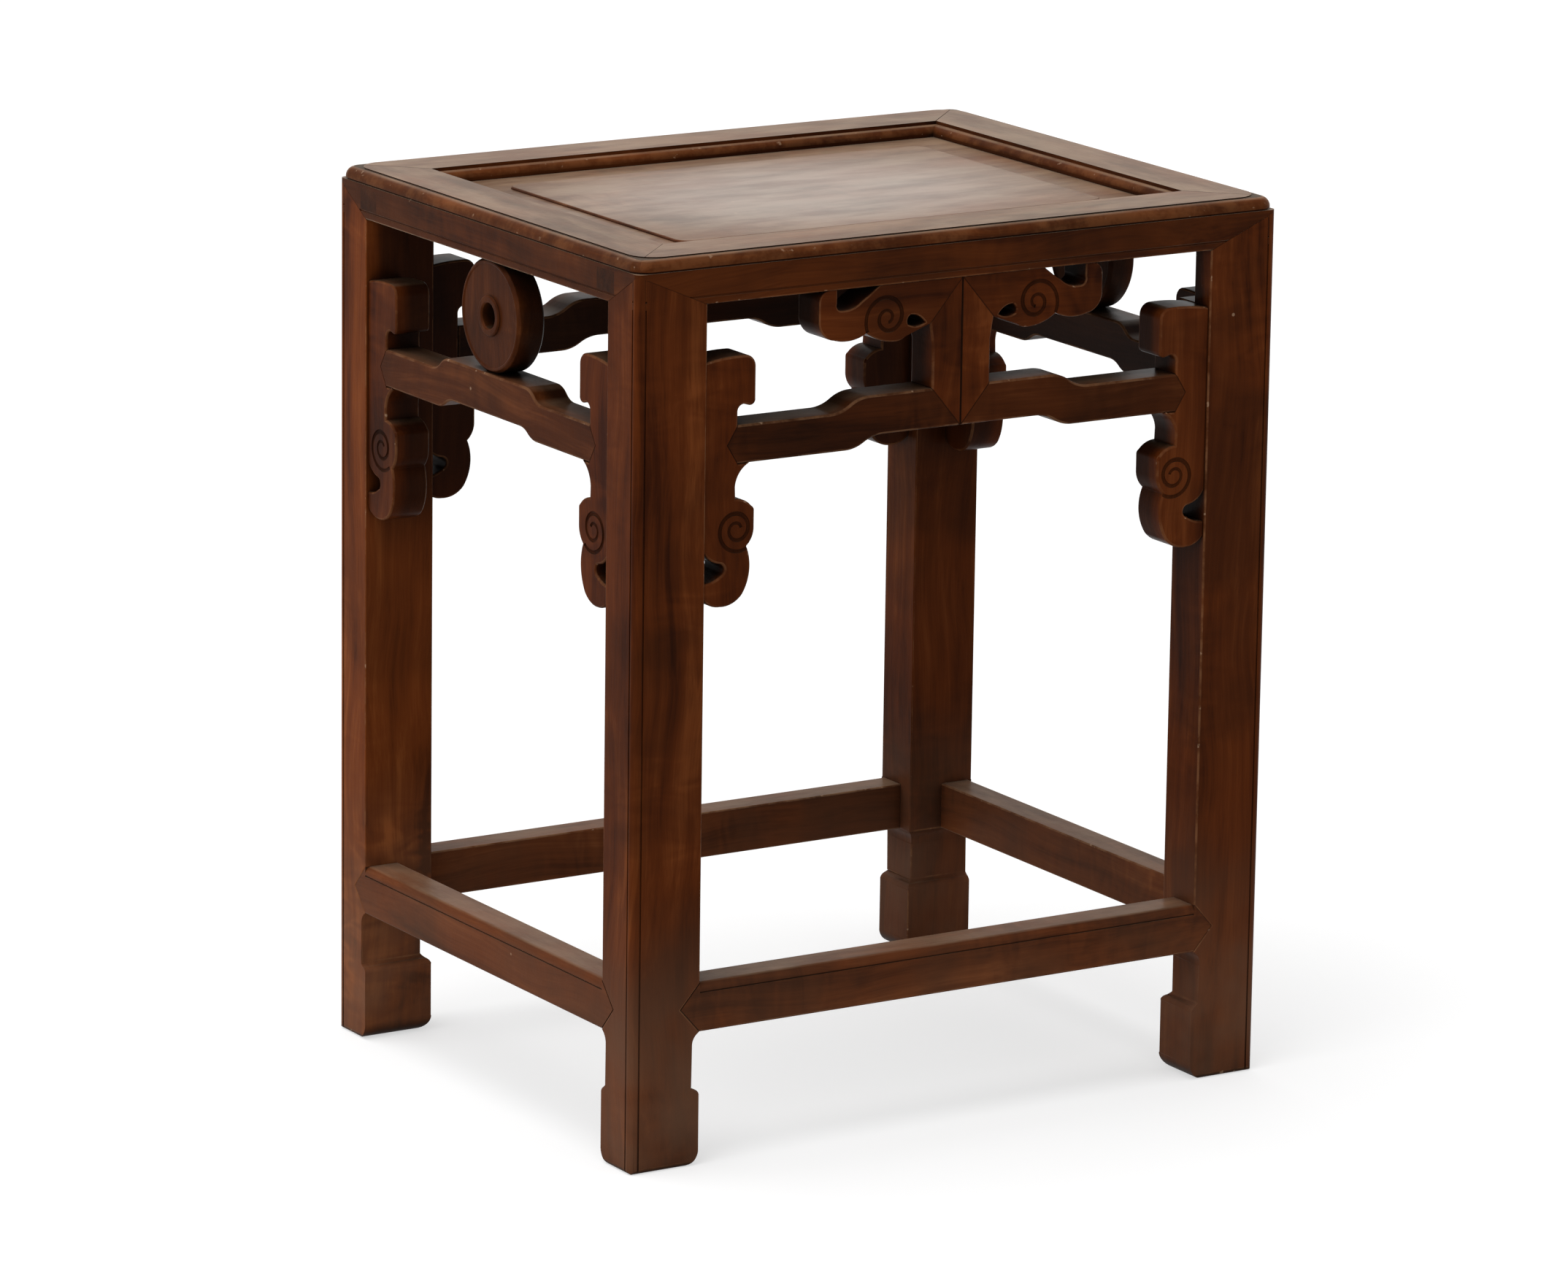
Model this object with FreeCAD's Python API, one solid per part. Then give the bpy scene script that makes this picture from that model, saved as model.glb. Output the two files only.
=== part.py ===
import FreeCAD, Part
import math
import os
from FreeCAD import Vector

# Small Chinese hardwood table with a framed panel top, openwork brackets under
# the top and a low square of stretchers near the feet.
# Millimetres. The origin is on the floor under the middle of the top, +Z is up,
# +X runs along the long side and +Y runs from the front to the back.

# ---- overall size ----
LENGTH = 408.0
DEPTH = 325.0
HEIGHT = 500.0

# ---- top frame ----
RAIL_HEIGHT = 26.5
RAIL_FLAT = 37.5            # outer face to the inner arris of the flat top
RAIL_WIDTH = 42.5           # outer face to the inner face under the inner bead
LIP_DROP = 2.0              # step from the flat top down to the inner bead
INNER_BEAD_RADIUS = 4.4
CORNER_RADIUS = 4.0         # upright corner of the legs and of the rail faces
TOP_BEAD_HEIGHT = 5.9
TOP_BEAD_RADIUS = 5.5
TOP_BEAD_CORNER = 10.0      # corner of the top bead seen from above
TOP_FLAT_INSET = 6.0
TOP_FLAT_CORNER = 15.0
TOP_FLAT_STEP = 0.6
GROOVE_WIDTH = 1.0
GROOVE_DEPTH = 1.0
LOWER_BEAD_HEIGHT = 3.7
LOWER_GROOVE_DEPTH = 0.6
CORNER_TENON_WIDTH = 18.0   # through tenon of a long rail, shows on the short rail
CORNER_TENON_HEIGHT = 12.0
CORNER_TENON_RISE = 5.0     # rail underside to the tenon underside

# ---- floating panel ----
PANEL_BORDER_DROP = 8.3     # flat top of the frame to the panel border
PANEL_FIELD_RISE = 1.5
PANEL_TONGUE = 6.0          # thickness of the edge held in the rail groove
GROOVE_REACH = 6.0          # depth of the rail groove that holds the panel
PANEL_PLAY = 0.5            # gap left for the panel to move in its grooves
FIELD_MARGIN = 25.0         # visible border around the raised field
FIELD_CORNER = 9.0
BATTEN_WIDTH = 24.0
BATTEN_SPACING = 124.0
BATTEN_CLEARANCE = 1.0      # batten underside to the rail underside
DOVETAIL_NECK = 14.0
DOVETAIL_HEAD = 18.0
DOVETAIL_RISE = 3.0
BATTEN_TENON_WIDTH = 12.0
BATTEN_TENON_HEIGHT = 6.0
BATTEN_TENON_REACH = 9.0
BATTEN_TENON_RISE = 1.5     # batten underside to the tenon underside

# ---- legs ----
LEG_LONG = 43.0             # width seen on the long side
LEG_SHORT = 31.0            # width seen on the short side
LEG_GROOVE_OFFSET = 4.7     # corner line to the fine groove on each outer face
LEG_GROOVE_WIDTH = 1.0
LEG_GROOVE_DEPTH = 0.8
MITRE_RISE = 18.5           # height of the pointed leg top over the rail underside
TOP_TENON_HEIGHT = 12.5
LONG_TENON_WIDTH = 17.0     # leg tenon into the long rail
LONG_TENON_THICKNESS = 9.0
LONG_TENON_MARGIN = 7.0     # inner face of the leg to the tenon
LONG_TENON_DEPTH = 6.0      # outer face of the leg to the tenon
SHORT_TENON_WIDTH = 8.0     # leg tenon into the short rail
SHORT_TENON_THICKNESS = 7.0
SHORT_TENON_MARGIN = 9.0
SHORT_TENON_DEPTH = 5.0
RELIEF_HEIGHT = 31.5        # inner corner of one leg cut away under the rail
RELIEF_WIDTH = 19.0
RELIEF_LEAVES = 15.5        # thickness of the leg left beside the relief
ANKLE_CUT = 4.5             # how far the leg is cut back above the foot
ANKLE_COVE = 9.0
FOOT_TOP = 44.5
FOOT_SHOULDER = 6.5
FOOT_HEEL_RADIUS = 9.0
FOOT_EDGE = 1.6

# ---- stretchers near the floor ----
BASE_BOTTOM = 75.0
BASE_HEIGHT = 27.0
BASE_THICKNESS = 21.0
BASE_BEAD = 4.0
BASE_GROOVE = 0.8
BASE_POINT = 12.0           # how far the pointed shoulder laps over the leg
BASE_SKIN = 6.0             # thickness of the pointed shoulder
BASE_TENON = 7.0
BASE_TENON_MARGIN = 5.0
BASE_TENON_LONG = 24.0
BASE_TENON_SHORT = 16.0

# ---- openwork under the top ----
FRET_SETBACK = 1.5          # fretwork face behind the leg face
FRET_THICKNESS = 21.5
SHORT_DROP = 2.5            # the short sides sit this much lower
HUMP_DROP = 88.5            # rail underside to the underside of the stretcher ends
HUMP_HEIGHT = 21.0
BRACKET_REACH = 31.5        # leg face to the tips of a scroll bracket
BRACKET_NECK = 20.5         # leg face to the shoulder of the hump stretcher
HUMP_POINT = 6.5
HUMP_SKIN = 5.5
FRET_TENON = 6.0
FRET_TENON_SETBACK = 9.0
HUMP_TENON_MARGIN = 4.5
HUMP_TENON_REACH = 8.0
BRACKET_TENON_REACH = 6.0
BRACKET_TENON_HEIGHT = 14.0
BRACKET_TENON_OVER = 26.0   # stretcher top to the middle of the upper tenon
BRACKET_TENON_UNDER = 34.0  # stretcher underside to the middle of the lower tenon
LONG_RISE_TOP = 7.8         # how far the middle of a long stretcher is raised
LONG_RISE_BOTTOM = 6.9
LONG_TOP_STEP = (83.0, 58.0)       # centre line to the foot and head of the step
LONG_BOTTOM_STEP = (73.0, 49.0)
SHORT_RISE_TOP = 7.3
SHORT_RISE_BOTTOM = 5.6
SHORT_TOP_STEP = (60.0, 42.0)
SHORT_BOTTOM_STEP = (54.0, 36.0)
POST_WIDTH_LOW = 18.5       # half of the centre post at its foot
POST_WIDTH_HIGH = 20.5      # half of the centre post at its head
POST_MITRE_DROP = 24.0      # rail underside to the inner corner of the top mitre
POST_FLARE = 12.0           # height of the widening below that mitre
POST_TENON_WIDTH = 7.0
POST_TENON_LOW = (11.0, 25.0)      # foot tenon, from the stretcher underside
POST_TENON_HIGH = (22.0, 5.0)      # head tenon, below the rail underside
POST_TENON_SHARE = (0.5, 0.6)      # places of the foot and head tenons across the half post
CLOUD_TONGUE = (50.0, 14.0)        # centre line to the two ends of its tongue
CLOUD_TONGUE_HEIGHT = 5.0
ROUNDEL_THICKNESS = 17.0
ROUNDEL_SETBACK = 3.5
ROUNDEL_HOLE = 7.0
ROUNDEL_RING = 11.4
ROUNDEL_RING_RISE = 1.0
ROUNDEL_RIM = 3.2
ROUNDEL_FLAT = 4.5          # half width of the flats where it is seated
ROUNDEL_TENON = 5.0
ROUNDEL_TENON_SIDE = 0.5    # how much narrower a tenon is than the flat, at each side
ROUNDEL_TENON_ROOT = 3.0    # how far the tenons start inside the disc
ROUNDEL_EDGE = 0.8          # bevel of the raised ring
ROUNDEL_DISH_SLOPE = 0.4    # width of the slope from the sunk face to the rim
ROUNDEL_SOFTENING = 1.6     # bevel of the rim
ROUNDEL_DISH = 0.6          # how far the face sinks between ring and rim

CLEAR = 5.0                 # how far cutters run past the wood

HALF_LENGTH = LENGTH / 2
HALF_DEPTH = DEPTH / 2
RAIL_BOTTOM = HEIGHT - RAIL_HEIGHT
BEAD_BOTTOM = HEIGHT - TOP_FLAT_STEP - TOP_BEAD_HEIGHT
LEG_IN_LONG = HALF_LENGTH - LEG_LONG
LEG_IN_SHORT = HALF_DEPTH - LEG_SHORT
PANEL_BORDER = HEIGHT - PANEL_BORDER_DROP
PANEL_UNDERSIDE = PANEL_BORDER - PANEL_TONGUE
BASE_TOP = BASE_BOTTOM + BASE_HEIGHT
FRET_BACK = FRET_SETBACK + FRET_THICKNESS
HUMP_BOTTOM = RAIL_BOTTOM - HUMP_DROP
HUMP_TOP = HUMP_BOTTOM + HUMP_HEIGHT


# ---- shared shapes ----

def box(low, high):
    """Return an upright box between two corners given as (x, y, z)."""
    size = [b - a for a, b in zip(low, high)]
    return Part.makeBox(size[0], size[1], size[2], Vector(*low))


def rounded_slab(length, depth, radius, low, high):
    """Return a slab centred on the origin with round upright corners."""
    slab = box((-length / 2, -depth / 2, low), (length / 2, depth / 2, high))
    upright = [e for e in slab.Edges if abs(e.tangentAt(e.FirstParameter).z) > 0.99]
    return slab.makeFillet(radius, upright)


def at(point):
    """Return the 3-D point for a (along, height) pair of a front view."""
    return Vector(point[0], 0, point[1])


def outline(start, steps):
    """Return the wire of a front view.

    Each step is an end point, or a pair (middle point, end point) for an arc.
    """
    edges = []
    here = start
    for step in steps:
        if isinstance(step[0], tuple):
            middle, end = step
            edges.append(Part.Arc(at(here), at(middle), at(end)).toShape())
        else:
            end = step
            edges.append(Part.makeLine(at(here), at(end)))
        here = end
    if here != start:
        edges.append(Part.makeLine(at(here), at(start)))
    return Part.Wire(edges)


def plate(wire, front, back):
    """Return a front view cut out of a board lying between two depths."""
    face = Part.Face(wire)
    face.translate(Vector(0, front, 0))
    return face.extrude(Vector(0, back - front, 0))


def swept_half(start, end):
    """Return the middle point of an arc that leaves start horizontally."""
    run = end[0] - start[0]
    rise = end[1] - start[1]
    radius = (run * run + rise * rise) / (2 * abs(rise))
    side = math.copysign(1.0, rise)
    turn = math.atan2(abs(run), radius - abs(rise)) / 2
    along = start[0] + math.copysign(radius * math.sin(turn), run)
    height = start[1] + side * radius * (1 - math.cos(turn))
    return (along, height)


def ogee(start, end):
    """Return the two arc steps of an S-curve that is level at both ends."""
    middle = ((start[0] + end[0]) / 2, (start[1] + end[1]) / 2)
    first = swept_half(start, middle)
    second = swept_half(end, middle)
    return [(first, middle), (second, end)]


def raised(steps, height):
    """Return outline steps raised by height."""
    result = []
    for step in steps:
        if isinstance(step[0], tuple):
            result.append(tuple((x, z + height) for x, z in step))
        else:
            result.append((step[0], step[1] + height))
    return result


def mirrored(shape, normal):
    """Return the mirror image of a shape across a plane through the origin."""
    return shape.mirror(Vector(0, 0, 0), normal)


ACROSS = Vector(1, 0, 0)
THROUGH = Vector(0, 1, 0)


def to_front(shape):
    """Move a part drawn with its outer face at y = 0 to the front."""
    return shape.translated(Vector(0, -HALF_DEPTH, 0))


def to_back(shape):
    """Place the mirror image of a front part at the back."""
    return mirrored(to_front(shape), THROUGH)


def to_left(shape):
    """Turn a part drawn with its outer face at y = 0 to the left side.

    The end drawn on the right becomes the front end.
    """
    turned = shape.copy()
    turned.rotate(Vector(0, 0, 0), Vector(0, 0, 1), -90)
    return turned.translated(Vector(-HALF_LENGTH, 0, 0))


def to_right(shape):
    """Place the mirror image of a left part at the right side."""
    return mirrored(to_left(shape), ACROSS)


# ---- legs ----

def leg_section():
    """Return the plan outline of a leg with its outer corner at the origin."""
    blank = box((0, 0, 0), (LEG_LONG, LEG_SHORT, 1))
    corner = [e for e in blank.Edges
              if e.BoundBox.ZLength > 0.5 and e.BoundBox.XMax < 0.1 and e.BoundBox.YMax < 0.1]
    blank = blank.makeFillet(CORNER_RADIUS, corner)
    near = LEG_GROOVE_OFFSET
    far = near + LEG_GROOVE_WIDTH
    blank = blank.cut(box((near, -1, -1), (far, LEG_GROOVE_DEPTH, 2)))
    blank = blank.cut(box((-1, near, -1), (LEG_GROOVE_DEPTH, far, 2)))
    floor = [f for f in blank.Faces if f.BoundBox.ZMax < 0.01]
    return floor[0]


def pointed_top():
    """Return the mitred point of a leg above the rail underside."""
    corner = Vector(0, 0, RAIL_BOTTOM)
    long_end = Vector(LEG_LONG, 0, RAIL_BOTTOM)
    short_end = Vector(0, LEG_SHORT, RAIL_BOTTOM)
    tip = Vector(0, 0, RAIL_BOTTOM + MITRE_RISE)
    sides = [
        (corner, long_end, short_end),
        (corner, long_end, tip),
        (corner, short_end, tip),
        (long_end, short_end, tip),
    ]
    faces = [Part.Face(Part.makePolygon([a, b, c, a])) for a, b, c in sides]
    return Part.Solid(Part.Shell(faces))


def ankle_cutter(inner_face):
    """Return what is removed from one inner side above the foot.

    Drawn in a front view with the inner face of the leg at inner_face.
    """
    cut = inner_face - ANKLE_CUT
    cove_foot = BASE_BOTTOM - ANKLE_COVE
    cove_middle = (inner_face - 0.69 * ANKLE_CUT, BASE_BOTTOM - 0.29 * ANKLE_COVE)
    slope_end = (cut + 0.4 * ANKLE_CUT, FOOT_TOP - 0.25 * FOOT_SHOULDER)
    bend = (inner_face - 0.16 * ANKLE_CUT, FOOT_TOP - 0.5 * FOOT_SHOULDER)
    shoulder_low = FOOT_TOP - FOOT_SHOULDER
    wire = outline((inner_face, BASE_BOTTOM), [
        (cove_middle, (cut, cove_foot)),
        (cut, FOOT_TOP),
        slope_end,
        (bend, (inner_face, shoulder_low)),
        (inner_face + CLEAR, shoulder_low),
        (inner_face + CLEAR, BASE_BOTTOM),
    ])
    return plate(wire, -CLEAR, LEG_LONG + CLEAR)


def heel_cutter(inner_face):
    """Return the wedge that rounds the bottom of one inner side of the foot."""
    radius = FOOT_HEEL_RADIUS
    bend = radius * (1 - math.sqrt(0.5))
    wire = outline((inner_face, radius), [
        ((inner_face - bend, bend), (inner_face - radius, 0)),
        (inner_face - radius, -CLEAR),
        (inner_face + CLEAR, -CLEAR),
        (inner_face + CLEAR, radius),
    ])
    return plate(wire, -CLEAR, LEG_LONG + CLEAR)


def sole_cutter():
    """Return the wedge that bevels the bottom edge of one outer side."""
    wire = outline((0, FOOT_EDGE), [
        (FOOT_EDGE, 0),
        (FOOT_EDGE, -CLEAR),
        (-CLEAR, -CLEAR),
        (-CLEAR, FOOT_EDGE),
    ])
    return plate(wire, -CLEAR, LEG_LONG + CLEAR)


def turned_to_side(cutter):
    """Turn a cutter drawn for the long direction to the short direction."""
    return cutter.mirror(Vector(0, 0, 0), Vector(1, -1, 0))


def top_tenons():
    """Return the two tenons that rise from a leg into the top frame."""
    low = RAIL_BOTTOM - 1
    high = RAIL_BOTTOM + TOP_TENON_HEIGHT
    along = LEG_LONG - LONG_TENON_MARGIN
    into_long = box(
        (along - LONG_TENON_WIDTH, LONG_TENON_DEPTH, low),
        (along, LONG_TENON_DEPTH + LONG_TENON_THICKNESS, high),
    )
    across = LEG_SHORT - SHORT_TENON_MARGIN
    into_short = box(
        (SHORT_TENON_DEPTH, across - SHORT_TENON_WIDTH, low),
        (SHORT_TENON_DEPTH + SHORT_TENON_THICKNESS, across, high),
    )
    return into_long.fuse(into_short)


def leg_blank():
    """Return one leg with its outer corner at the origin, without mortises."""
    section = leg_section()
    post = section.extrude(Vector(0, 0, RAIL_BOTTOM + MITRE_RISE))
    body = box((-1, -1, 0), (LEG_LONG + 1, LEG_SHORT + 1, RAIL_BOTTOM))
    leg = post.common(body.fuse(pointed_top()))
    leg = leg.fuse(top_tenons()).removeSplitter()
    leg = leg.cut(ankle_cutter(LEG_LONG))
    leg = leg.cut(turned_to_side(ankle_cutter(LEG_SHORT)))
    leg = leg.cut(heel_cutter(LEG_LONG))
    leg = leg.cut(turned_to_side(heel_cutter(LEG_SHORT)))
    leg = leg.cut(sole_cutter())
    return leg.cut(turned_to_side(sole_cutter()))


def relieved(leg):
    """Return the front right leg thinned at its top on the inner corner."""
    corner = box(
        (LEG_IN_LONG - CLEAR, -HALF_DEPTH + RELIEF_LEAVES, RAIL_BOTTOM - RELIEF_HEIGHT),
        (LEG_IN_LONG + RELIEF_WIDTH, -LEG_IN_SHORT + CLEAR, RAIL_BOTTOM),
    )
    return leg.cut(corner)


def legs():
    """Return the four legs by name."""
    front_left = leg_blank().translated(Vector(-HALF_LENGTH, -HALF_DEPTH, 0))
    front_right = mirrored(front_left, ACROSS)
    return {
        "leg_front_left": front_left,
        "leg_front_right": relieved(front_right),
        "leg_back_left": mirrored(front_left, THROUGH),
        "leg_back_right": mirrored(front_right, THROUGH),
    }


# ---- stretchers near the floor ----

def base_stretcher(half_span, tenon_reach):
    """Return a low stretcher between two legs, outer face at y = 0."""
    bar = box((-half_span, 0, BASE_BOTTOM), (half_span, BASE_THICKNESS, BASE_TOP))
    long_edges = [e for e in bar.Edges if e.BoundBox.XLength > half_span]
    outer = [e for e in long_edges if e.BoundBox.YMax < 0.01]
    arris = [e for e in outer if e.BoundBox.ZMin > BASE_TOP - 0.01]
    bar = bar.makeFillet(BASE_BEAD, arris)
    groove_top = BASE_TOP - BASE_BEAD - BASE_GROOVE
    groove_low = groove_top - BASE_GROOVE
    bar = bar.cut(box((-half_span, -CLEAR, groove_low), (half_span, BASE_GROOVE, groove_top)))
    middle = (BASE_BOTTOM + BASE_TOP) / 2
    for side in (-1, 1):
        shoulder = side * half_span
        tip = side * (half_span + BASE_POINT)
        wire = outline((shoulder, BASE_BOTTOM), [(tip, middle), (shoulder, BASE_TOP)])
        bar = bar.fuse(plate(wire, 0, BASE_SKIN))
        ends = sorted((shoulder, side * (half_span + tenon_reach)))
        low = BASE_BOTTOM + BASE_TENON_MARGIN
        high = BASE_TOP - BASE_TENON_MARGIN
        bar = bar.fuse(box((ends[0], BASE_SKIN, low), (ends[1], BASE_SKIN + BASE_TENON, high)))
    return bar.removeSplitter()


def base_stretchers():
    """Return the four low stretchers by name."""
    long_one = base_stretcher(LEG_IN_LONG, BASE_TENON_LONG)
    short_one = base_stretcher(LEG_IN_SHORT, BASE_TENON_SHORT)
    return {
        "base_stretcher_front": to_front(long_one),
        "base_stretcher_back": to_back(long_one),
        "base_stretcher_left": to_left(short_one),
        "base_stretcher_right": to_right(short_one),
    }


# ---- openwork under the top ----

def scroll_bracket(half_span, drop):
    """Return the scroll bracket at the left end of a side, outer face y = 0.

    The outline is drawn from the leg face and from the stretcher's underside.
    """
    tip = BRACKET_REACH
    over = HUMP_HEIGHT
    start = (0, over + 35.5)
    steps = [
        ((12, over + 37.2), (tip - 6.5, over + 37.5)),
        ((tip - 1.9, over + 35.6), (tip, over + 31)),
        (tip, over + 13.6),
        ((tip - 0.9, over + 10.9), (tip - 3.5, over + 10)),
        (tip - 7, over + 11),
        ((BRACKET_NECK + 1.2, over + 9.9), (BRACKET_NECK, over + 7.5)),
        (BRACKET_NECK, 0),
        (BRACKET_NECK + 8, 0),
        ((BRACKET_NECK + 1.9, -4.8), (BRACKET_NECK - 1, -12.5)),
        (BRACKET_NECK - 0.7, -19),
        ((tip - 5.9, -20.4), (tip - 1.5, -23.8)),
        ((tip - 0.3, -25), (tip, -26.6)),
        (tip, -35),
        ((tip - 1.1, -40.8), (tip - 4.5, -45.4)),
        ((tip - 2.4, -58.8), (tip - 6.9, -71.6)),
        ((18.4, -76.1), (10.8, -77.2)),
        ((4.9, -76), (0, -72.4)),
        (0, -63.4),
        ((5.4, -62.7), (10.6, -60.2)),
        ((13.2, -56.6), (10.2, -53.4)),
        ((4.8, -51.4), (0, -46.6)),
    ]
    underside = HUMP_BOTTOM - drop
    wire = outline((start[0], start[1] + underside), raised(steps, underside))
    board = plate(wire, FRET_SETBACK, FRET_BACK)
    return board.translated(Vector(-half_span, 0, 0))


def tenon(along, low, high):
    """Return a flat tenon in the middle of the fretwork thickness."""
    near = FRET_TENON_SETBACK
    return box((along[0], near, low), (along[1], near + FRET_TENON, high))


def bracket_with_tenons(half_span, drop):
    """Return the left scroll bracket with its two tenons into the leg."""
    bracket = scroll_bracket(half_span, drop)
    edge = (-half_span - BRACKET_TENON_REACH, -half_span + 1)
    for middle in (HUMP_TOP + BRACKET_TENON_OVER, HUMP_BOTTOM - BRACKET_TENON_UNDER):
        low = middle - drop - BRACKET_TENON_HEIGHT / 2
        bracket = bracket.fuse(tenon(edge, low, low + BRACKET_TENON_HEIGHT))
    return bracket.removeSplitter()


def hump_end(half_span, drop):
    """Return the pointed shoulder and tenon at the left end of a hump stretcher."""
    bottom = HUMP_BOTTOM - drop
    top = HUMP_TOP - drop
    shoulder = -half_span + BRACKET_NECK
    wire = outline((shoulder, bottom), [(shoulder - HUMP_POINT, (bottom + top) / 2), (shoulder, top)])
    point = plate(wire, FRET_SETBACK, FRET_SETBACK + HUMP_SKIN)
    tail = tenon(
        (-half_span - HUMP_TENON_REACH, shoulder + 1),
        bottom + HUMP_TENON_MARGIN,
        top - HUMP_TENON_MARGIN,
    )
    return point.fuse(tail)


def post_foot_mitre():
    """Return the two ends of the mitre between centre post and stretcher."""
    return (0, HUMP_BOTTOM + LONG_RISE_BOTTOM), (-POST_WIDTH_LOW, HUMP_TOP + LONG_RISE_TOP)


def long_hump_stretcher():
    """Return the left half of the stretcher of a long side."""
    low_end = -LEG_IN_LONG + BRACKET_NECK
    seam, inner = post_foot_mitre()
    foot, head = LONG_BOTTOM_STEP
    steps = [(-foot, HUMP_BOTTOM)]
    steps += ogee((-foot, HUMP_BOTTOM), (-head, seam[1]))
    foot, head = LONG_TOP_STEP
    steps += [seam, inner, (-head, inner[1])]
    steps += ogee((-head, inner[1]), (-foot, HUMP_TOP))
    steps += [(low_end, HUMP_TOP)]
    board = plate(outline((low_end, HUMP_BOTTOM), steps), FRET_SETBACK, FRET_BACK)
    return board.fuse(hump_end(LEG_IN_LONG, 0)).removeSplitter()


def centre_post():
    """Return the left half of the post in the middle of a long side."""
    seam, inner = post_foot_mitre()
    mitre = RAIL_BOTTOM - POST_MITRE_DROP
    wire = outline(seam, [
        inner,
        (-POST_WIDTH_LOW, mitre - POST_FLARE),
        (-POST_WIDTH_HIGH, mitre),
        (0, RAIL_BOTTOM),
    ])
    board = plate(wire, FRET_SETBACK, FRET_BACK)
    low_share, high_share = POST_TENON_SHARE
    low, high = POST_TENON_LOW
    middle = low_share * POST_WIDTH_LOW
    along = (-middle - POST_TENON_WIDTH / 2, -middle + POST_TENON_WIDTH / 2)
    lower = tenon(along, HUMP_BOTTOM + low, HUMP_BOTTOM + high)
    low, high = POST_TENON_HIGH
    middle = high_share * POST_WIDTH_HIGH
    along = (-middle - POST_TENON_WIDTH / 2, -middle + POST_TENON_WIDTH / 2)
    upper = tenon(along, RAIL_BOTTOM - low, RAIL_BOTTOM - high)
    return board.fuse(lower).fuse(upper).removeSplitter()


def cloud_bracket():
    """Return the left cloud bracket under the rail of a long side.

    The outline is drawn from the centre line and from the rail's underside.
    """
    steps = [
        (-53, 0),
        (-59.7, -5.2),
        (-64, -7.9),
        ((-70, -11.3), (-76, -11.9)),
        ((-79, -10.7), (-79.5, -7.5)),
        (-79.5, 0),
        (-86, 0),
        ((-89.4, -2.7), (-90.6, -7)),
        (-90.6, -17.5),
        ((-87.5, -24.5), (-81, -27.7)),
        ((-70.7, -28.8), (-60.5, -25.7)),
        ((-51.5, -30.3), (-41.5, -31.7)),
        ((-38.5, -31.1), (-35.8, -29.5)),
        (-POST_WIDTH_HIGH, -POST_MITRE_DROP),
    ]
    wire = outline((0, RAIL_BOTTOM), raised(steps, RAIL_BOTTOM))
    board = plate(wire, FRET_SETBACK, FRET_BACK)
    steps = [
        ((-29, -24.6), (-34.4, -23.1)),
        ((-34.6, -19.9), (-32.6, -17.9)),
        ((-27.6, -19.1), (-23.5, -22.9)),
    ]
    wire = outline((-23.5, RAIL_BOTTOM - 22.9), raised(steps, RAIL_BOTTOM))
    board = board.cut(plate(wire, 0, FRET_BACK + CLEAR))
    far, near = CLOUD_TONGUE
    tongue = tenon((-far, -near), RAIL_BOTTOM - 1, RAIL_BOTTOM + CLOUD_TONGUE_HEIGHT)
    return board.fuse(tongue).removeSplitter()


def long_side():
    """Return the openwork of one long side, in its side's own place."""
    bracket = bracket_with_tenons(LEG_IN_LONG, 0)
    hump = long_hump_stretcher()
    post = centre_post()
    cloud = cloud_bracket()
    cloud = cloud.cut(post)
    hump = hump.cut(post)
    bracket = bracket.cut(hump)
    left = {
        "scroll_bracket": bracket,
        "hump_stretcher": hump,
        "centre_post": post,
        "cloud_bracket": cloud,
    }
    pieces = {}
    for name, shape in left.items():
        pieces[name + "_left"] = shape
        pieces[name + "_right"] = mirrored(shape, ACROSS)
    return pieces


def roundel():
    """Return the pierced round block between hump stretcher and rail."""
    low = HUMP_TOP - SHORT_DROP + SHORT_RISE_TOP
    middle = (low + RAIL_BOTTOM) / 2
    half = (RAIL_BOTTOM - low) / 2
    radius = math.hypot(half, ROUNDEL_FLAT)
    front = ROUNDEL_SETBACK
    ring = ROUNDEL_RING
    rim = radius - ROUNDEL_RIM
    top = front - ROUNDEL_RING_RISE
    profile = [
        (ROUNDEL_HOLE, front + ROUNDEL_THICKNESS / 2),
        (ROUNDEL_HOLE, top + ROUNDEL_EDGE),
        (ROUNDEL_HOLE + ROUNDEL_EDGE, top),
        (ring - ROUNDEL_EDGE, top),
        (ring, top + ROUNDEL_EDGE),
        (ring, front + ROUNDEL_DISH),
        (rim, front + ROUNDEL_DISH),
        (rim + ROUNDEL_DISH_SLOPE, front),
        (radius - ROUNDEL_SOFTENING, front),
        (radius, front + ROUNDEL_SOFTENING),
        (radius, front + ROUNDEL_THICKNESS / 2),
    ]
    points = [Vector(r, y, 0) for r, y in profile]
    half_face = Part.Face(Part.makePolygon(points + [points[0]]))
    disc = half_face.revolve(Vector(0, 0, 0), Vector(0, 1, 0), 360)
    back = disc.mirror(Vector(0, front + ROUNDEL_THICKNESS / 2, 0), THROUGH)
    disc = disc.fuse(back).removeSplitter().translated(Vector(0, 0, middle))
    slot = box((-radius - CLEAR, 0, low), (radius + CLEAR, FRET_BACK + CLEAR, RAIL_BOTTOM))
    disc = disc.common(slot)
    half_peg = ROUNDEL_FLAT - ROUNDEL_TENON_SIDE
    peg_length = ROUNDEL_TENON + ROUNDEL_TENON_ROOT
    for height in (low - ROUNDEL_TENON, RAIL_BOTTOM - ROUNDEL_TENON_ROOT):
        peg = tenon((-half_peg, half_peg), height, height + peg_length)
        disc = disc.fuse(peg)
    return disc.removeSplitter()


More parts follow.
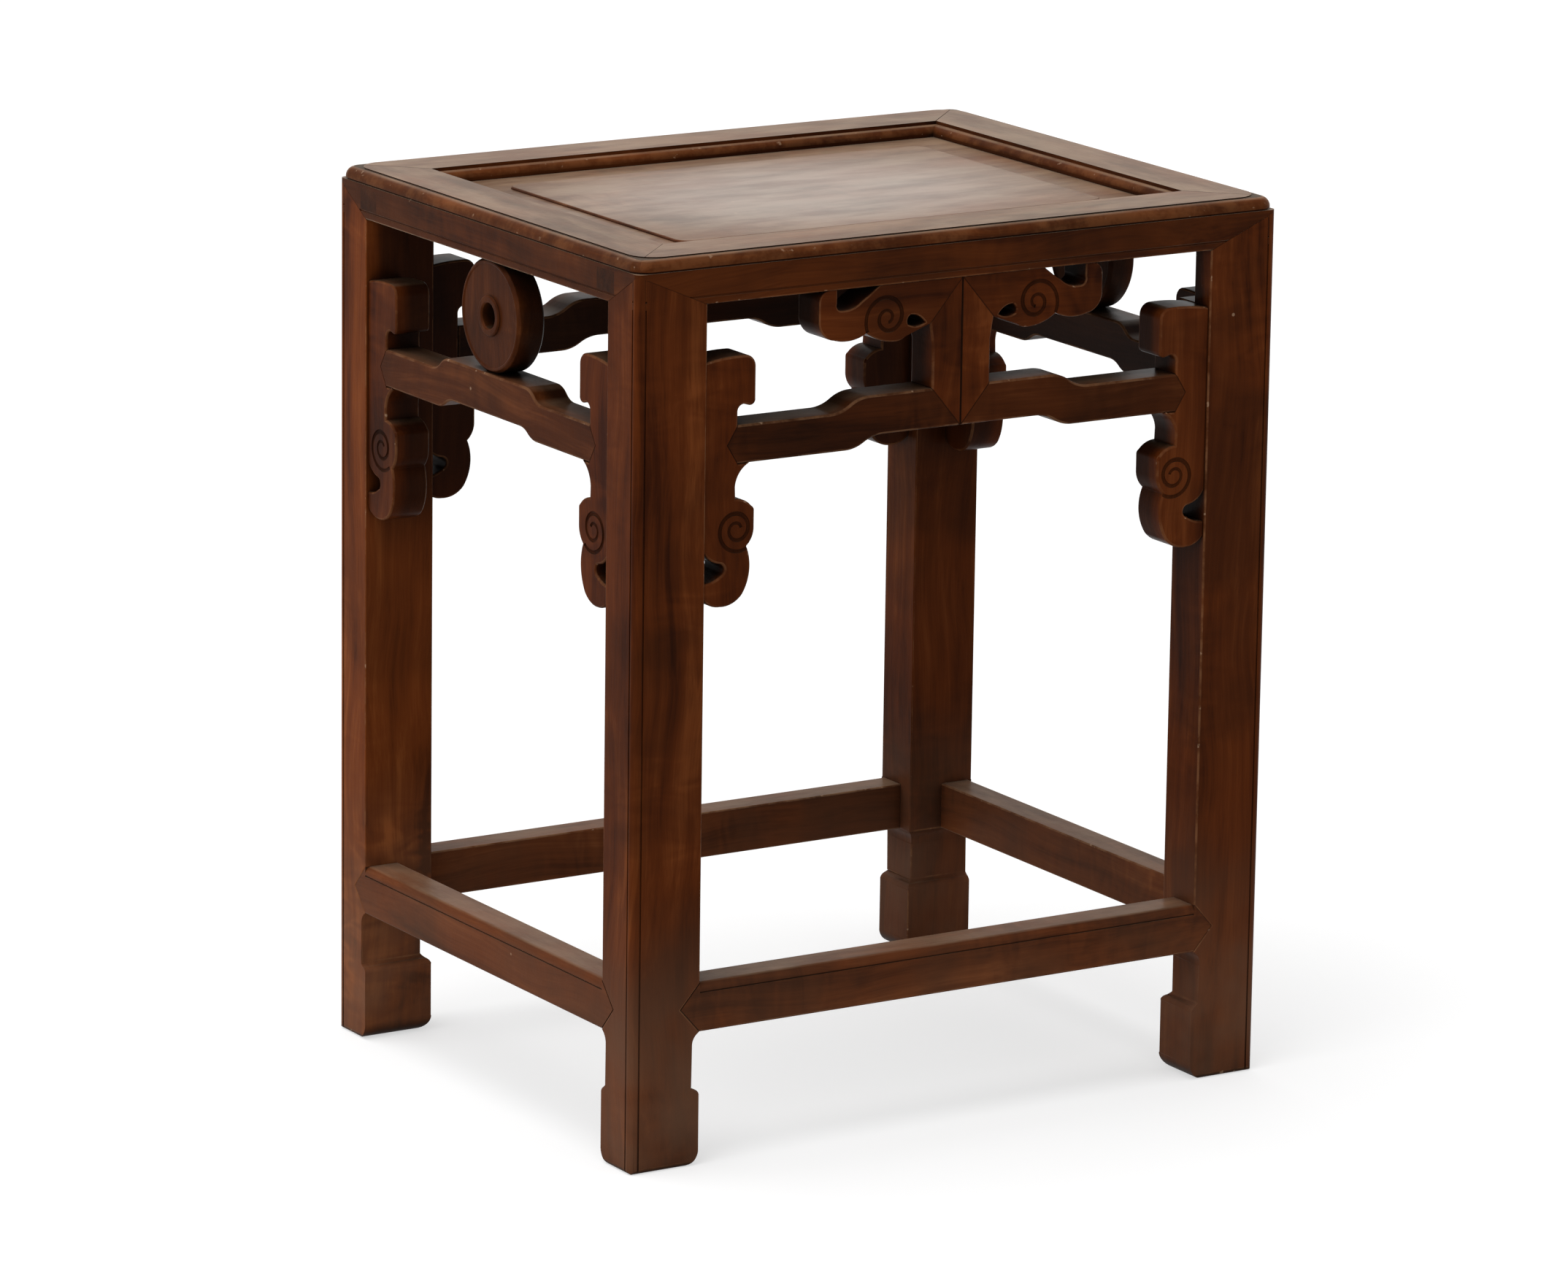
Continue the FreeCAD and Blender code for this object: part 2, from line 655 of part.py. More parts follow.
def short_hump_stretcher():
    """Return the one-piece stretcher of a short side."""
    bottom = HUMP_BOTTOM - SHORT_DROP
    top = HUMP_TOP - SHORT_DROP
    high_bottom = bottom + SHORT_RISE_BOTTOM
    high_top = top + SHORT_RISE_TOP
    end = LEG_IN_SHORT - BRACKET_NECK
    foot, head = SHORT_BOTTOM_STEP
    steps = [(-foot, bottom)]
    steps += ogee((-foot, bottom), (-head, high_bottom))
    steps += [(head, high_bottom)]
    steps += ogee((head, high_bottom), (foot, bottom))
    foot, head = SHORT_TOP_STEP
    steps += [(end, bottom), (end, top), (foot, top)]
    steps += ogee((foot, top), (head, high_top))
    steps += [(-head, high_top)]
    steps += ogee((-head, high_top), (-foot, top))
    steps += [(-end, top)]
    board = plate(outline((-end, bottom), steps), FRET_SETBACK, FRET_BACK)
    left_end = hump_end(LEG_IN_SHORT, SHORT_DROP)
    board = board.fuse(left_end).fuse(mirrored(left_end, ACROSS))
    return board.removeSplitter()


def short_side():
    """Return the openwork of one short side, in its side's own place."""
    hump = short_hump_stretcher()
    disc = roundel()
    bracket = bracket_with_tenons(LEG_IN_SHORT, SHORT_DROP).cut(hump)
    return {
        "scroll_bracket_back": bracket,
        "scroll_bracket_front": mirrored(bracket, ACROSS),
        "hump_stretcher": hump.cut(disc),
        "roundel": disc,
    }


def openwork():
    """Return all the openwork under the top by name."""
    parts = {}
    for name, shape in long_side().items():
        parts["front_" + name] = to_front(shape)
        parts["back_" + name] = to_back(shape)
    for name, shape in short_side().items():
        parts["left_" + name] = to_left(shape)
        parts["right_" + name] = to_right(shape)
    return parts


# ---- top ----

def top_envelope():
    """Return the outer shape of the whole top, with beads and grooves."""
    lower = rounded_slab(LENGTH, DEPTH, CORNER_RADIUS, RAIL_BOTTOM, BEAD_BOTTOM)
    bead = rounded_slab(LENGTH, DEPTH, TOP_BEAD_CORNER, BEAD_BOTTOM, HEIGHT - TOP_FLAT_STEP)
    rim = [e for e in bead.Edges if e.BoundBox.ZMin > HEIGHT - TOP_FLAT_STEP - 0.01]
    bead = bead.makeFillet(TOP_BEAD_RADIUS, rim)
    flat = rounded_slab(
        LENGTH - 2 * TOP_FLAT_INSET,
        DEPTH - 2 * TOP_FLAT_INSET,
        TOP_FLAT_CORNER,
        HEIGHT - TOP_FLAT_STEP,
        HEIGHT,
    )
    whole = lower.fuse(bead).fuse(flat)
    whole = whole.cut(ring_groove(BEAD_BOTTOM, GROOVE_DEPTH, TOP_BEAD_CORNER - GROOVE_DEPTH))
    lower_groove = RAIL_BOTTOM + LOWER_BEAD_HEIGHT + GROOVE_WIDTH
    whole = whole.cut(ring_groove(lower_groove, LOWER_GROOVE_DEPTH, CORNER_RADIUS))
    return whole


def ring_groove(top, depth, corner):
    """Return the cutter of a groove that runs round the outside of the top."""
    low = top - GROOVE_WIDTH
    outside = box((-LENGTH, -DEPTH, low), (LENGTH, DEPTH, top))
    core = rounded_slab(LENGTH - 2 * depth, DEPTH - 2 * depth, corner, low - 1, top + 1)
    return outside.cut(core)


def rail_bar(span):
    """Return a rail blank along +X with its outer face at y = 0."""
    lip = HEIGHT - LIP_DROP
    bead_low = lip - INNER_BEAD_RADIUS
    bend = INNER_BEAD_RADIUS * math.sqrt(0.5)
    centre = (RAIL_WIDTH - INNER_BEAD_RADIUS, bead_low)
    groove_floor = RAIL_WIDTH - GROOVE_REACH
    points = [
        (0, RAIL_BOTTOM),
        (0, HEIGHT),
        (RAIL_FLAT, HEIGHT),
        (RAIL_FLAT, lip),
        (centre[0], lip),
    ]
    edges = [
        Part.makeLine(Vector(0, *a), Vector(0, *b))
        for a, b in zip(points, points[1:])
    ]
    edges.append(Part.Arc(
        Vector(0, *points[-1]),
        Vector(0, centre[0] + bend, centre[1] + bend),
        Vector(0, RAIL_WIDTH, bead_low),
    ).toShape())
    points = [
        (RAIL_WIDTH, bead_low),
        (RAIL_WIDTH, PANEL_BORDER),
        (groove_floor, PANEL_BORDER),
        (groove_floor, PANEL_UNDERSIDE),
        (RAIL_WIDTH, PANEL_UNDERSIDE),
        (RAIL_WIDTH, RAIL_BOTTOM),
        (0, RAIL_BOTTOM),
    ]
    edges += [
        Part.makeLine(Vector(0, *a), Vector(0, *b))
        for a, b in zip(points, points[1:])
    ]
    profile = Part.Face(Part.Wire(edges))
    profile.translate(Vector(-span, 0, 0))
    return profile.extrude(Vector(2 * span, 0, 0))


def mitre_wedge(half_length):
    """Return the plan region of one rail, outer face at y = 0."""
    reach = RAIL_WIDTH + CLEAR
    corners = [
        (-half_length, 0),
        (half_length, 0),
        (half_length - reach, reach),
        (-half_length + reach, reach),
    ]
    points = [Vector(x, y, RAIL_BOTTOM - 1) for x, y in corners]
    region = Part.Face(Part.makePolygon(points + [points[0]]))
    return region.extrude(Vector(0, 0, RAIL_HEIGHT + 2))


def mitred_rail(half_length):
    """Return one mitred rail with a square outer edge, outer face at y = 0."""
    return rail_bar(half_length).common(mitre_wedge(half_length))


def corner_tenon(side):
    """Return the through tenon at one end of a long rail."""
    low = RAIL_BOTTOM + CORNER_TENON_RISE
    ends = sorted((side * HALF_LENGTH, side * (HALF_LENGTH - RAIL_WIDTH)))
    return box(
        (ends[0], RAIL_WIDTH - CORNER_TENON_WIDTH, low),
        (ends[1], RAIL_WIDTH, low + CORNER_TENON_HEIGHT),
    )


def batten(side):
    """Return a dovetailed batten under the panel, half the spacing to one side."""
    place = side * BATTEN_SPACING / 2
    half = BATTEN_WIDTH / 2
    inside = HALF_DEPTH - RAIL_WIDTH
    low = RAIL_BOTTOM + BATTEN_CLEARANCE
    body = box((place - half, -inside, low), (place + half, inside, PANEL_UNDERSIDE))
    key_points = [
        Vector(place - DOVETAIL_NECK / 2, -inside, PANEL_UNDERSIDE),
        Vector(place + DOVETAIL_NECK / 2, -inside, PANEL_UNDERSIDE),
        Vector(place + DOVETAIL_HEAD / 2, -inside, PANEL_UNDERSIDE + DOVETAIL_RISE),
        Vector(place - DOVETAIL_HEAD / 2, -inside, PANEL_UNDERSIDE + DOVETAIL_RISE),
    ]
    key = Part.Face(Part.makePolygon(key_points + [key_points[0]]))
    body = body.fuse(key.extrude(Vector(0, 2 * inside, 0)))
    width = BATTEN_TENON_WIDTH / 2
    reach = inside + BATTEN_TENON_REACH
    low += BATTEN_TENON_RISE
    tails = box(
        (place - width, -reach, low),
        (place + width, reach, low + BATTEN_TENON_HEIGHT),
    )
    return body.fuse(tails).removeSplitter()


def panel():
    """Return the floating panel with its raised field, before the battens."""
    inside_length = LENGTH - 2 * RAIL_WIDTH
    inside_depth = DEPTH - 2 * RAIL_WIDTH
    reach = 2 * (GROOVE_REACH - PANEL_PLAY)
    tongue_long = box(
        (-inside_length / 2 - reach / 2, -inside_depth / 2, PANEL_UNDERSIDE),
        (inside_length / 2 + reach / 2, inside_depth / 2, PANEL_BORDER),
    )
    tongue_deep = box(
        (-inside_length / 2, -inside_depth / 2 - reach / 2, PANEL_UNDERSIDE),
        (inside_length / 2, inside_depth / 2 + reach / 2, PANEL_BORDER),
    )
    field = rounded_slab(
        inside_length - 2 * FIELD_MARGIN,
        inside_depth - 2 * FIELD_MARGIN,
        FIELD_CORNER,
        PANEL_BORDER - 1,
        PANEL_BORDER + PANEL_FIELD_RISE,
    )
    rim = [e for e in field.Edges if e.BoundBox.ZMin > PANEL_BORDER + PANEL_FIELD_RISE - 0.01]
    field = field.makeFillet(PANEL_FIELD_RISE - 0.1, rim)
    return tongue_long.fuse(tongue_deep).fuse(field).removeSplitter()


def top_parts(leg_parts, fret_parts):
    """Return the frame, panel and battens, mortised for what enters them."""
    envelope = top_envelope()
    long_rail = mitred_rail(HALF_LENGTH)
    short_rail = mitred_rail(HALF_DEPTH)
    rails = {
        "top_rail_front": to_front(long_rail).common(envelope),
        "top_rail_back": to_back(long_rail).common(envelope),
        "top_rail_left": to_left(short_rail).common(envelope),
        "top_rail_right": to_right(short_rail).common(envelope),
    }
    tenons = [corner_tenon(side) for side in (-1, 1)]
    for name, place in (("top_rail_front", to_front), ("top_rail_back", to_back)):
        for piece in tenons:
            rails[name] = rails[name].fuse(place(piece))
        rails[name] = rails[name].removeSplitter()
    for name in ("top_rail_left", "top_rail_right"):
        rails[name] = rails[name].cut(rails["top_rail_front"])
        rails[name] = rails[name].cut(rails["top_rail_back"])
    battens = {
        "panel_batten_left": batten(-1),
        "panel_batten_right": batten(1),
    }
    board = panel()
    for piece in battens.values():
        board = board.cut(piece)
    rails = mortised(rails, {**leg_parts, **fret_parts, **battens})
    return {**rails, "top_panel": board, **battens}


def mortised(targets, entering):
    """Return the targets with a mortise for every part that enters them."""
    result = {}
    for name, shape in targets.items():
        for piece in entering.values():
            if shape.BoundBox.intersect(piece.BoundBox):
                shape = shape.cut(piece)
        result[name] = shape
    return result


def main():
    """Build every part and write one STEP file for each."""
    fret = openwork()
    low = base_stretchers()
    leg_parts = mortised(legs(), {**fret, **low})
    parts = {**top_parts(leg_parts, fret), **leg_parts, **low, **fret}
    os.makedirs("parts", exist_ok=True)
    for name, shape in parts.items():
        shape.exportStep("parts/" + name + ".step")


main()
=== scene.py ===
import logging
import math
from dataclasses import dataclass, field, replace
from enum import Enum
from typing import Callable, Optional

import bmesh
import bpy
from mathutils import Matrix, Vector


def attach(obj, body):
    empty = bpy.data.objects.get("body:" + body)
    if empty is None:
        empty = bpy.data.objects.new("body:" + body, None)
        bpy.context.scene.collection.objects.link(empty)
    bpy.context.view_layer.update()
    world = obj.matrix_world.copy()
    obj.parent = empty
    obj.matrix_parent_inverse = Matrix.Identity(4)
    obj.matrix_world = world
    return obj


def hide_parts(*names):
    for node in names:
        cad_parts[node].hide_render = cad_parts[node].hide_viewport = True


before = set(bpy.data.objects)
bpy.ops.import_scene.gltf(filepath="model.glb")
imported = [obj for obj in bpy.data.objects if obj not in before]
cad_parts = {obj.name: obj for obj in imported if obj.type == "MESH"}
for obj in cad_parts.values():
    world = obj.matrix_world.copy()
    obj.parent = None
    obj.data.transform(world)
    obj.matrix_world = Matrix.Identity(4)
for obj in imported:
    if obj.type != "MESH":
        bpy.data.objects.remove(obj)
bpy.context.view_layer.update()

# Looks of a small Chinese hardwood table. Every visible part is a copy of its
# imported node with softened arrises, carving and a worn polished wood finish,
# into whose colour some shade, sheen and glints are painted.
# The frame is that of the imported model: front is -Y, left is -X, up is +Z.
# Shapes are measured in millimetres, looks and lamps in metres.

MM = 0.001
log = logging.getLogger("table")

# The table's main planes, in millimetres: its outer faces, the underside of the
# top frame, the faces of the legs that the long and short bars meet, and the
# underside of the humped stretchers, which lies lower on the short sides.
HALF_LENGTH = 204.0
HALF_DEPTH = 162.5
RAIL_UNDERSIDE = 473.5
LEG_LONG = 161.0
LEG_SHORT = 131.5
HUMP_UNDERSIDE = 385.0
SHORT_DROP = 2.5

# Places nearer to each other than this are the same, in millimetres.
CLOSE = 0.1

# An edge is level if the upward part of its direction is less than the first,
# and it runs along an axis if its part along that axis is more than the second.
LEVEL = 0.1
STRAIGHT = 0.99

Colour = tuple[float, float, float]
Point = tuple[float, float, float]
Socket = bpy.types.NodeSocket
Outputs = bpy.types.NodeOutputs

# Turns a place measured on a part into a point of the table.
Rule = Callable[[float, float, float], Point]


# ---------------------------------------------------------------- shader help

# Numbers of the sockets of a Mix node that mixes colours.
MIX_FACTOR, MIX_FIRST, MIX_SECOND = 0, 6, 7
MIX_RESULT = 2


class Sheet:
    """A node tree with short calls for adding and joining nodes."""

    def __init__(self, tree: bpy.types.NodeTree) -> None:
        """Start with an empty tree.

        Args:
            tree: The material's or group's node tree.
        """
        self.tree = tree
        tree.nodes.clear()

    def add(self, kind: str, inputs: Optional[dict] = None, **settings: object) -> bpy.types.Node:
        """Add one node.

        Args:
            kind: Blender's name of the node type without "ShaderNode".
            inputs: Socket name or number to a value or to an output socket.
            settings: Properties of the node.

        Returns:
            The new node.
        """
        prefix = "" if kind.startswith("Node") else "ShaderNode"
        node = self.tree.nodes.new(prefix + kind)
        for name, value in settings.items():
            setattr(node, name, value)
        for name, value in (inputs or {}).items():
            self.feed(node.inputs[name], value)
        return node

    def feed(self, socket: Socket, value: object) -> None:
        """Join an output socket to a socket, or set the socket's value.

        Args:
            socket: The input socket.
            value: An output socket, a number, a vector or a colour.
        """
        if isinstance(value, Socket):
            self.tree.links.new(value, socket)
        elif isinstance(value, tuple) and len(value) == 3 and socket.type == "RGBA":
            socket.default_value = (*value, 1.0)
        else:
            socket.default_value = value

    def math(self, operation: str, first: object, second: object = 0.0, third: object = 0.0,
             clamp: bool = False) -> Socket:
        """Add one Math node.

        Args:
            operation: Blender's name of the operation.
            first: First value or socket.
            second: Second value or socket.
            third: Third value or socket, for the operations that take one.
            clamp: Whether the result is held between 0 and 1.

        Returns:
            The result.
        """
        inputs = {0: first, 1: second, 2: third}
        return self.add("Math", inputs, operation=operation, use_clamp=clamp).outputs[0]

    def times(self, first: object, *others: object, clamp: bool = False) -> Socket:
        """Multiply some values.

        Args:
            first: First value or socket.
            others: The other values or sockets.
            clamp: Whether the product is held between 0 and 1.

        Returns:
            The product.
        """
        product = first
        for number, other in enumerate(others, 1):
            product = self.math("MULTIPLY", product, other, clamp=clamp and number == len(others))
        return product

    def vector(self, operation: str, first: object, second: object = (0.0, 0.0, 0.0)) -> Socket:
        """Return the vector that one Vector Math node makes."""
        return self.add("VectorMath", {0: first, 1: second}, operation=operation).outputs[0]

    def noise(self, vector: Socket, scale: object, detail: float = 2.0, roughness: float = 0.5,
              distortion: float = 0.0) -> Socket:
        """Add a noise texture.

        Args:
            vector: Place in the pattern.
            scale: How many grains there are in a metre.
            detail: How many finer layers are added.
            roughness: Strength of the finer layers.
            distortion: How much the pattern is bent.

        Returns:
            Its grey value.
        """
        node = self.add("TexNoise", {
            "Vector": vector,
            "Scale": scale,
            "Detail": detail,
            "Roughness": roughness,
            "Distortion": distortion,
        })
        return node.outputs["Fac"]

    def band(self, value: object, low: float, high: float, to_low: float = 0.0,
             to_high: float = 1.0) -> Socket:
        """Move a value smoothly from one range to another and hold it there.

        Args:
            value: Value or socket that is moved.
            low: Value that gives to_low.
            high: Value that gives to_high.
            to_low: First end of the new range.
            to_high: Second end of the new range.

        Returns:
            The moved value.
        """
        node = self.add("MapRange", {
            "Value": value,
            "From Min": low,
            "From Max": high,
            "To Min": to_low,
            "To Max": to_high,
        }, interpolation_type="SMOOTHSTEP")
        return node.outputs["Result"]

    def mix(self, factor: object, first: object, second: object) -> Socket:
        """Return two colours mixed by a factor, where 0 gives the first."""
        inputs = {MIX_FACTOR: factor, MIX_FIRST: first, MIX_SECOND: second}
        return self.add("Mix", inputs, data_type="RGBA").outputs[MIX_RESULT]


def new_material(name: str) -> tuple[bpy.types.Material, Sheet]:
    """Make a material.

    Args:
        name: Name of the material.

    Returns:
        The material and its empty sheet.
    """
    material = bpy.data.materials.new(name)
    material.use_nodes = True
    return material, Sheet(material.node_tree)


def new_group(name: str, inputs: dict[str, object], outputs: dict[str, str]) -> tuple[Sheet, dict, dict]:
    """Start a shader node group.

    Args:
        name: Name of the group.
        inputs: Socket name to its first value; a tuple of 3 makes a colour and
            the word "VECTOR" makes a vector.
        outputs: Socket name to "Color" or "Float".

    Returns:
        The group's sheet, its input sockets and its output sockets by name.
    """
    tree = bpy.data.node_groups.new(name, "ShaderNodeTree")
    sheet = Sheet(tree)
    for key, value in inputs.items():
        kind = "Vector" if value == "VECTOR" else "Color" if isinstance(value, tuple) else "Float"
        socket = tree.interface.new_socket(key, in_out="INPUT", socket_type=f"NodeSocket{kind}")
        if kind != "Vector":
            socket.default_value = (*value, 1.0) if kind == "Color" else value
    for key, kind in outputs.items():
        tree.interface.new_socket(key, in_out="OUTPUT", socket_type=f"NodeSocket{kind}")
    start = sheet.add("NodeGroupInput")
    end = sheet.add("NodeGroupOutput")
    return sheet, {s.name: s for s in start.outputs}, {s.name: s for s in end.inputs}


def grain_group() -> bpy.types.NodeTree:
    """Build the wood grain, which runs along the X axis of its vector.

    Returns:
        The group: a colour, a tone from 0 to 1 and a height for the bump.
    """
    sheet, given, result = new_group(
        "wood_grain",
        {
            "Vector": "VECTOR",
            "Dark": (0.02, 0.008, 0.004),
            "Middle": (0.07, 0.025, 0.01),
            "Light": (0.16, 0.07, 0.03),
            "Band Scale": 26.0,
            "Figure": 0.2,
            "Contrast": 1.0,
        },
        {"Colour": "Color", "Tone": "Float", "Height": "Float"},
    )
    # The bands wander sideways by a few centimetres along the board.
    drift = sheet.add("TexNoise", {"Vector": given["Vector"], "Scale": 7.0, "Detail": 1.5})
    centred = sheet.vector("SUBTRACT", drift.outputs["Color"], (0.5, 0.5, 0.5))
    wander = sheet.vector("MULTIPLY", centred, (0.0, 0.03, 0.03))
    place = sheet.vector("ADD", given["Vector"], wander)

    def drawn_out(share: float) -> Socket:
        """Return a vector whose patterns are 1 / share times longer than wide."""
        return sheet.vector("MULTIPLY", place, (share, 1.0, 1.0))

    bands = sheet.noise(drawn_out(0.12), given["Band Scale"], 3.0, 0.55, 0.8)
    streaks = sheet.noise(drawn_out(0.035), 190.0, 4.0, 0.62)
    fibres = sheet.noise(drawn_out(0.02), 900.0, 2.0, 0.6)

    # Patches of wavy figure run across the fibres.
    patch = sheet.band(sheet.noise(given["Vector"], 9.0, 1.0), 0.42, 0.66)
    waves = sheet.vector("MULTIPLY", place, (1.0, 0.4, 0.4))
    curl = sheet.math("SUBTRACT", sheet.noise(waves, 75.0, 1.0, 0.4, 1.6), 0.5)
    curl = sheet.times(curl, patch, given["Figure"])

    # The parts add up to 0.52 on average; contrast spreads them round the middle tone.
    tone = sheet.math("MULTIPLY_ADD", bands, 0.62, sheet.times(streaks, 0.3))
    tone = sheet.math("ADD", sheet.math("ADD", tone, sheet.times(fibres, 0.12)), curl)
    tone = sheet.times(sheet.math("SUBTRACT", tone, 0.52), given["Contrast"])
    tone = sheet.math("ADD", tone, 0.5, clamp=True)

    low = sheet.mix(sheet.band(tone, 0.25, 0.55), given["Dark"], given["Middle"])
    colour = sheet.mix(sheet.band(tone, 0.5, 0.8), low, given["Light"])
    sheet.feed(result["Colour"], colour)
    sheet.feed(result["Tone"], tone)
    sheet.feed(result["Height"], sheet.math("ADD", sheet.times(fibres, 0.6), sheet.times(streaks, 0.4)))
    return sheet.tree


# Where age shows on the table, and where shade and sheen are painted on, in metres: each pair is the
# start and the end of a band.
# The painted shade inside the openwork under the top: how deep behind the outer faces, how high, and up
# to what height.
SHADE_UNDER_TOP_DEPTH = (0.003, 0.013)      # from the outer faces inwards
SHADE_UNDER_TOP_HEIGHT = (0.27, 0.33)       # the openwork lies above this
SHADE_UNDER_TOP_CEILING = 0.4745                # and below this
DUST_HEIGHT = (0.17, 0.02)          # dust grows thicker towards the floor
SHEEN_RADIUS = (0.19, 0.05)         # the top shines more towards its middle
CORNER_REACH = 0.007                # how near other faces have to be for a corner to take dirt and painted shade
SHADE_REACH = 0.08                  # how near other parts have to be for the painted shade to darken a face

LEVEL_FACE = (0.8, 0.995)           # upward part of the normal of the faces that take the film, partly a painted sheen, and wax
JOINT_DARKNESS = 0.85               # how much of the grime and shade colour a full joint mark takes
BARE_WOOD = (0.42, 0.27, 0.17)      # colour in the nicks


def painted_shade_under_top(sheet: Sheet, place: Socket, height: Socket) -> Socket:
    """Mask the painted shade on what lies behind the outer faces of the openwork under the top.

    Args:
        sheet: The sheet that is drawn on.
        place: Place on the table.
        height: Height of that place.

    Returns:
        1 where the painted shade falls and 0 elsewhere.
    """
    outwards = sheet.vector("ABSOLUTE", place)
    inwards = sheet.vector("SUBTRACT", (HALF_LENGTH * MM, HALF_DEPTH * MM, 0.0), outwards)
    depths = sheet.add("SeparateXYZ", {0: inwards})
    nearest = sheet.math("MINIMUM", depths.outputs["X"], depths.outputs["Y"])
    inside = sheet.band(nearest, *SHADE_UNDER_TOP_DEPTH)
    high = sheet.band(height, *SHADE_UNDER_TOP_HEIGHT)
    below_top = sheet.math("LESS_THAN", height, SHADE_UNDER_TOP_CEILING)
    return sheet.times(inside, high, below_top)


def nick_mask(sheet: Sheet, vector: Socket, edge: Socket, strength: Socket) -> Socket:
    """Mask the pale nicks on the faces and the chips on the arrises.

    Args:
        sheet: The sheet that is drawn on.
        vector: Place in the pattern.
        edge: 1 on a worn arris.
        strength: Strength of the nicks.

    Returns:
        The mask.
    """
    cells = sheet.add("TexVoronoi", {"Vector": vector, "Scale": 60.0, "Randomness": 1.0})
    lottery = sheet.add("SeparateColor", {0: cells.outputs["Color"]})
    chosen = sheet.math("GREATER_THAN", lottery.outputs[0], 0.94)
    spot = sheet.band(cells.outputs["Distance"], 0.07, 0.045)
    nick = sheet.times(chosen, spot, strength)
    chips = sheet.times(sheet.band(sheet.noise(vector, 210.0, 2.0), 0.68, 0.74), edge, strength)
    return sheet.math("MAXIMUM", nick, chips, clamp=True)


def wear_group() -> bpy.types.NodeTree:
    """Build the marks of age and the painted light: film with painted sheen, dust, rubbed arrises with
    painted glints, dark joints, dirt and painted shade, and nicks.

    Returns:
        The group: the changed colour, masks of rubbing with glints, of dirt with painted shade and of
            waxed sheen, and a height.
    """
    sheet, given, result = new_group(
        "handling_wear",
        {
            "Place": "VECTOR",
            "Vector": "VECTOR",
            "Colour": (0.07, 0.025, 0.01),
            "Edge": 0.0,
            "End Grain": 0.0,
            # the rubbed colour on the arrises also stands for a painted glint
            "Rubbed": (0.24, 0.12, 0.06),
            "Rub": 0.6,
            # the grime colour is also the colour of the painted shade
            "Grime And Shade": (0.007, 0.0035, 0.002),
            "Dirt": 0.8,
            "Shade": 0.6,
            # strength of the painted shade inside the openwork under the top
            "Shelter": 0.7,
            "Smoke": 0.4,
            "Nicks": 0.5,
            # the tan film on upward faces is partly a painted sheen
            "Film": 0.4,
            "Film Colour": (0.45, 0.300, 0.186),
            "Dust": 0.5,
            "Dust Colour": (0.19, 0.095, 0.055),
            "Wax": 0.3,
            "Wax Middle": 0.0,
        },
        {
            "Colour": "Color",
            "Rub Mask": "Float",
            "Dirt Mask": "Float",
            "Wax Mask": "Float",
            "Height": "Float",
        },
    )
    colour = given["Colour"]
    uneven = sheet.noise(given["Vector"], 60.0, 4.0, 0.65)
    broad = sheet.noise(given["Vector"], 13.0, 3.0, 0.6)
    streaky = sheet.noise(sheet.vector("MULTIPLY", given["Vector"], (0.3, 1.0, 1.0)), 55.0, 5.0, 0.62)
    height = sheet.add("SeparateXYZ", {0: given["Place"]}).outputs["Z"]
    facing = sheet.add("SeparateXYZ", {0: sheet.add("NewGeometry").outputs["Normal"]})
    level = sheet.band(facing.outputs["Z"], *LEVEL_FACE)

    # Dark clouds, darker end grain, and painted shade on the inside of the openwork under the top.
    smoke = sheet.times(sheet.band(broad, 0.36, 0.68), given["Smoke"])
    smoke = sheet.math("MAXIMUM", smoke, sheet.times(given["End Grain"], 0.6))
    colour = sheet.mix(smoke, colour, given["Grime And Shade"])
    shade_under_top = sheet.times(painted_shade_under_top(sheet, given["Place"], height), given["Shelter"])
    colour = sheet.mix(shade_under_top, colour, given["Grime And Shade"])

    # Dust near the floor.
    dust = sheet.times(sheet.band(height, *DUST_HEIGHT), given["Dust"])
    dust = sheet.times(dust, sheet.band(broad, 0.25, 0.65, 0.35, 1.0))
    colour = sheet.mix(dust, colour, given["Dust Colour"])

    # A pale film on the upward faces, partly a painted sheen, and wax that shines more in the middle of
    # the top.
    film = sheet.times(sheet.band(streaky, 0.32, 0.66, 0.35, 1.35), given["Film"])
    film = sheet.times(film, sheet.band(broad, 0.3, 0.7, 0.8, 1.12), level, clamp=True)
    colour = sheet.mix(film, colour, given["Film Colour"])
    flat = sheet.vector("MULTIPLY", given["Place"], (1.0, 1.35, 0.0))
    from_middle = sheet.add("VectorMath", {0: flat}, operation="LENGTH").outputs["Value"]
    wax = sheet.times(sheet.band(from_middle, *SHEEN_RADIUS), given["Wax Middle"])
    wax = sheet.math("ADD", given["Wax"], wax)
    wax = sheet.times(wax, sheet.band(streaky, 0.3, 0.7, 0.85, 1.1), level, clamp=True)

    # Polish rubbed off the arrises, and a painted glint of light along them.
    rub = sheet.math("MAXIMUM", given["Edge"], 0.0)
    rub = sheet.times(sheet.band(uneven, 0.4, 0.62, 0.15, 1.0), rub, given["Rub"], clamp=True)
    colour = sheet.mix(rub, colour, given["Rubbed"])

    # Dirt and painted shade in corners, dark joints, painted shade in the carved grooves and on the
    # frame's step, and painted shade where other parts are near.
    hollow = sheet.add("AmbientOcclusion", {"Distance": CORNER_REACH}, samples=6)
    dirt = sheet.band(hollow.outputs["AO"], 0.82, 0.32)
    dirt = sheet.times(dirt, sheet.band(uneven, 0.1, 0.5, 0.6, 1.0), given["Dirt"])
    joint = sheet.times(given["Edge"], -JOINT_DARKNESS, clamp=True)
    dirt = sheet.math("MAXIMUM", dirt, joint, clamp=True)
    colour = sheet.mix(dirt, colour, given["Grime And Shade"])
    inner = sheet.add("AmbientOcclusion", {"Distance": SHADE_REACH}, samples=8)
    shade = sheet.times(sheet.band(inner.outputs["AO"], 0.72, 0.15), given["Shade"])
    colour = sheet.mix(shade, colour, given["Grime And Shade"])

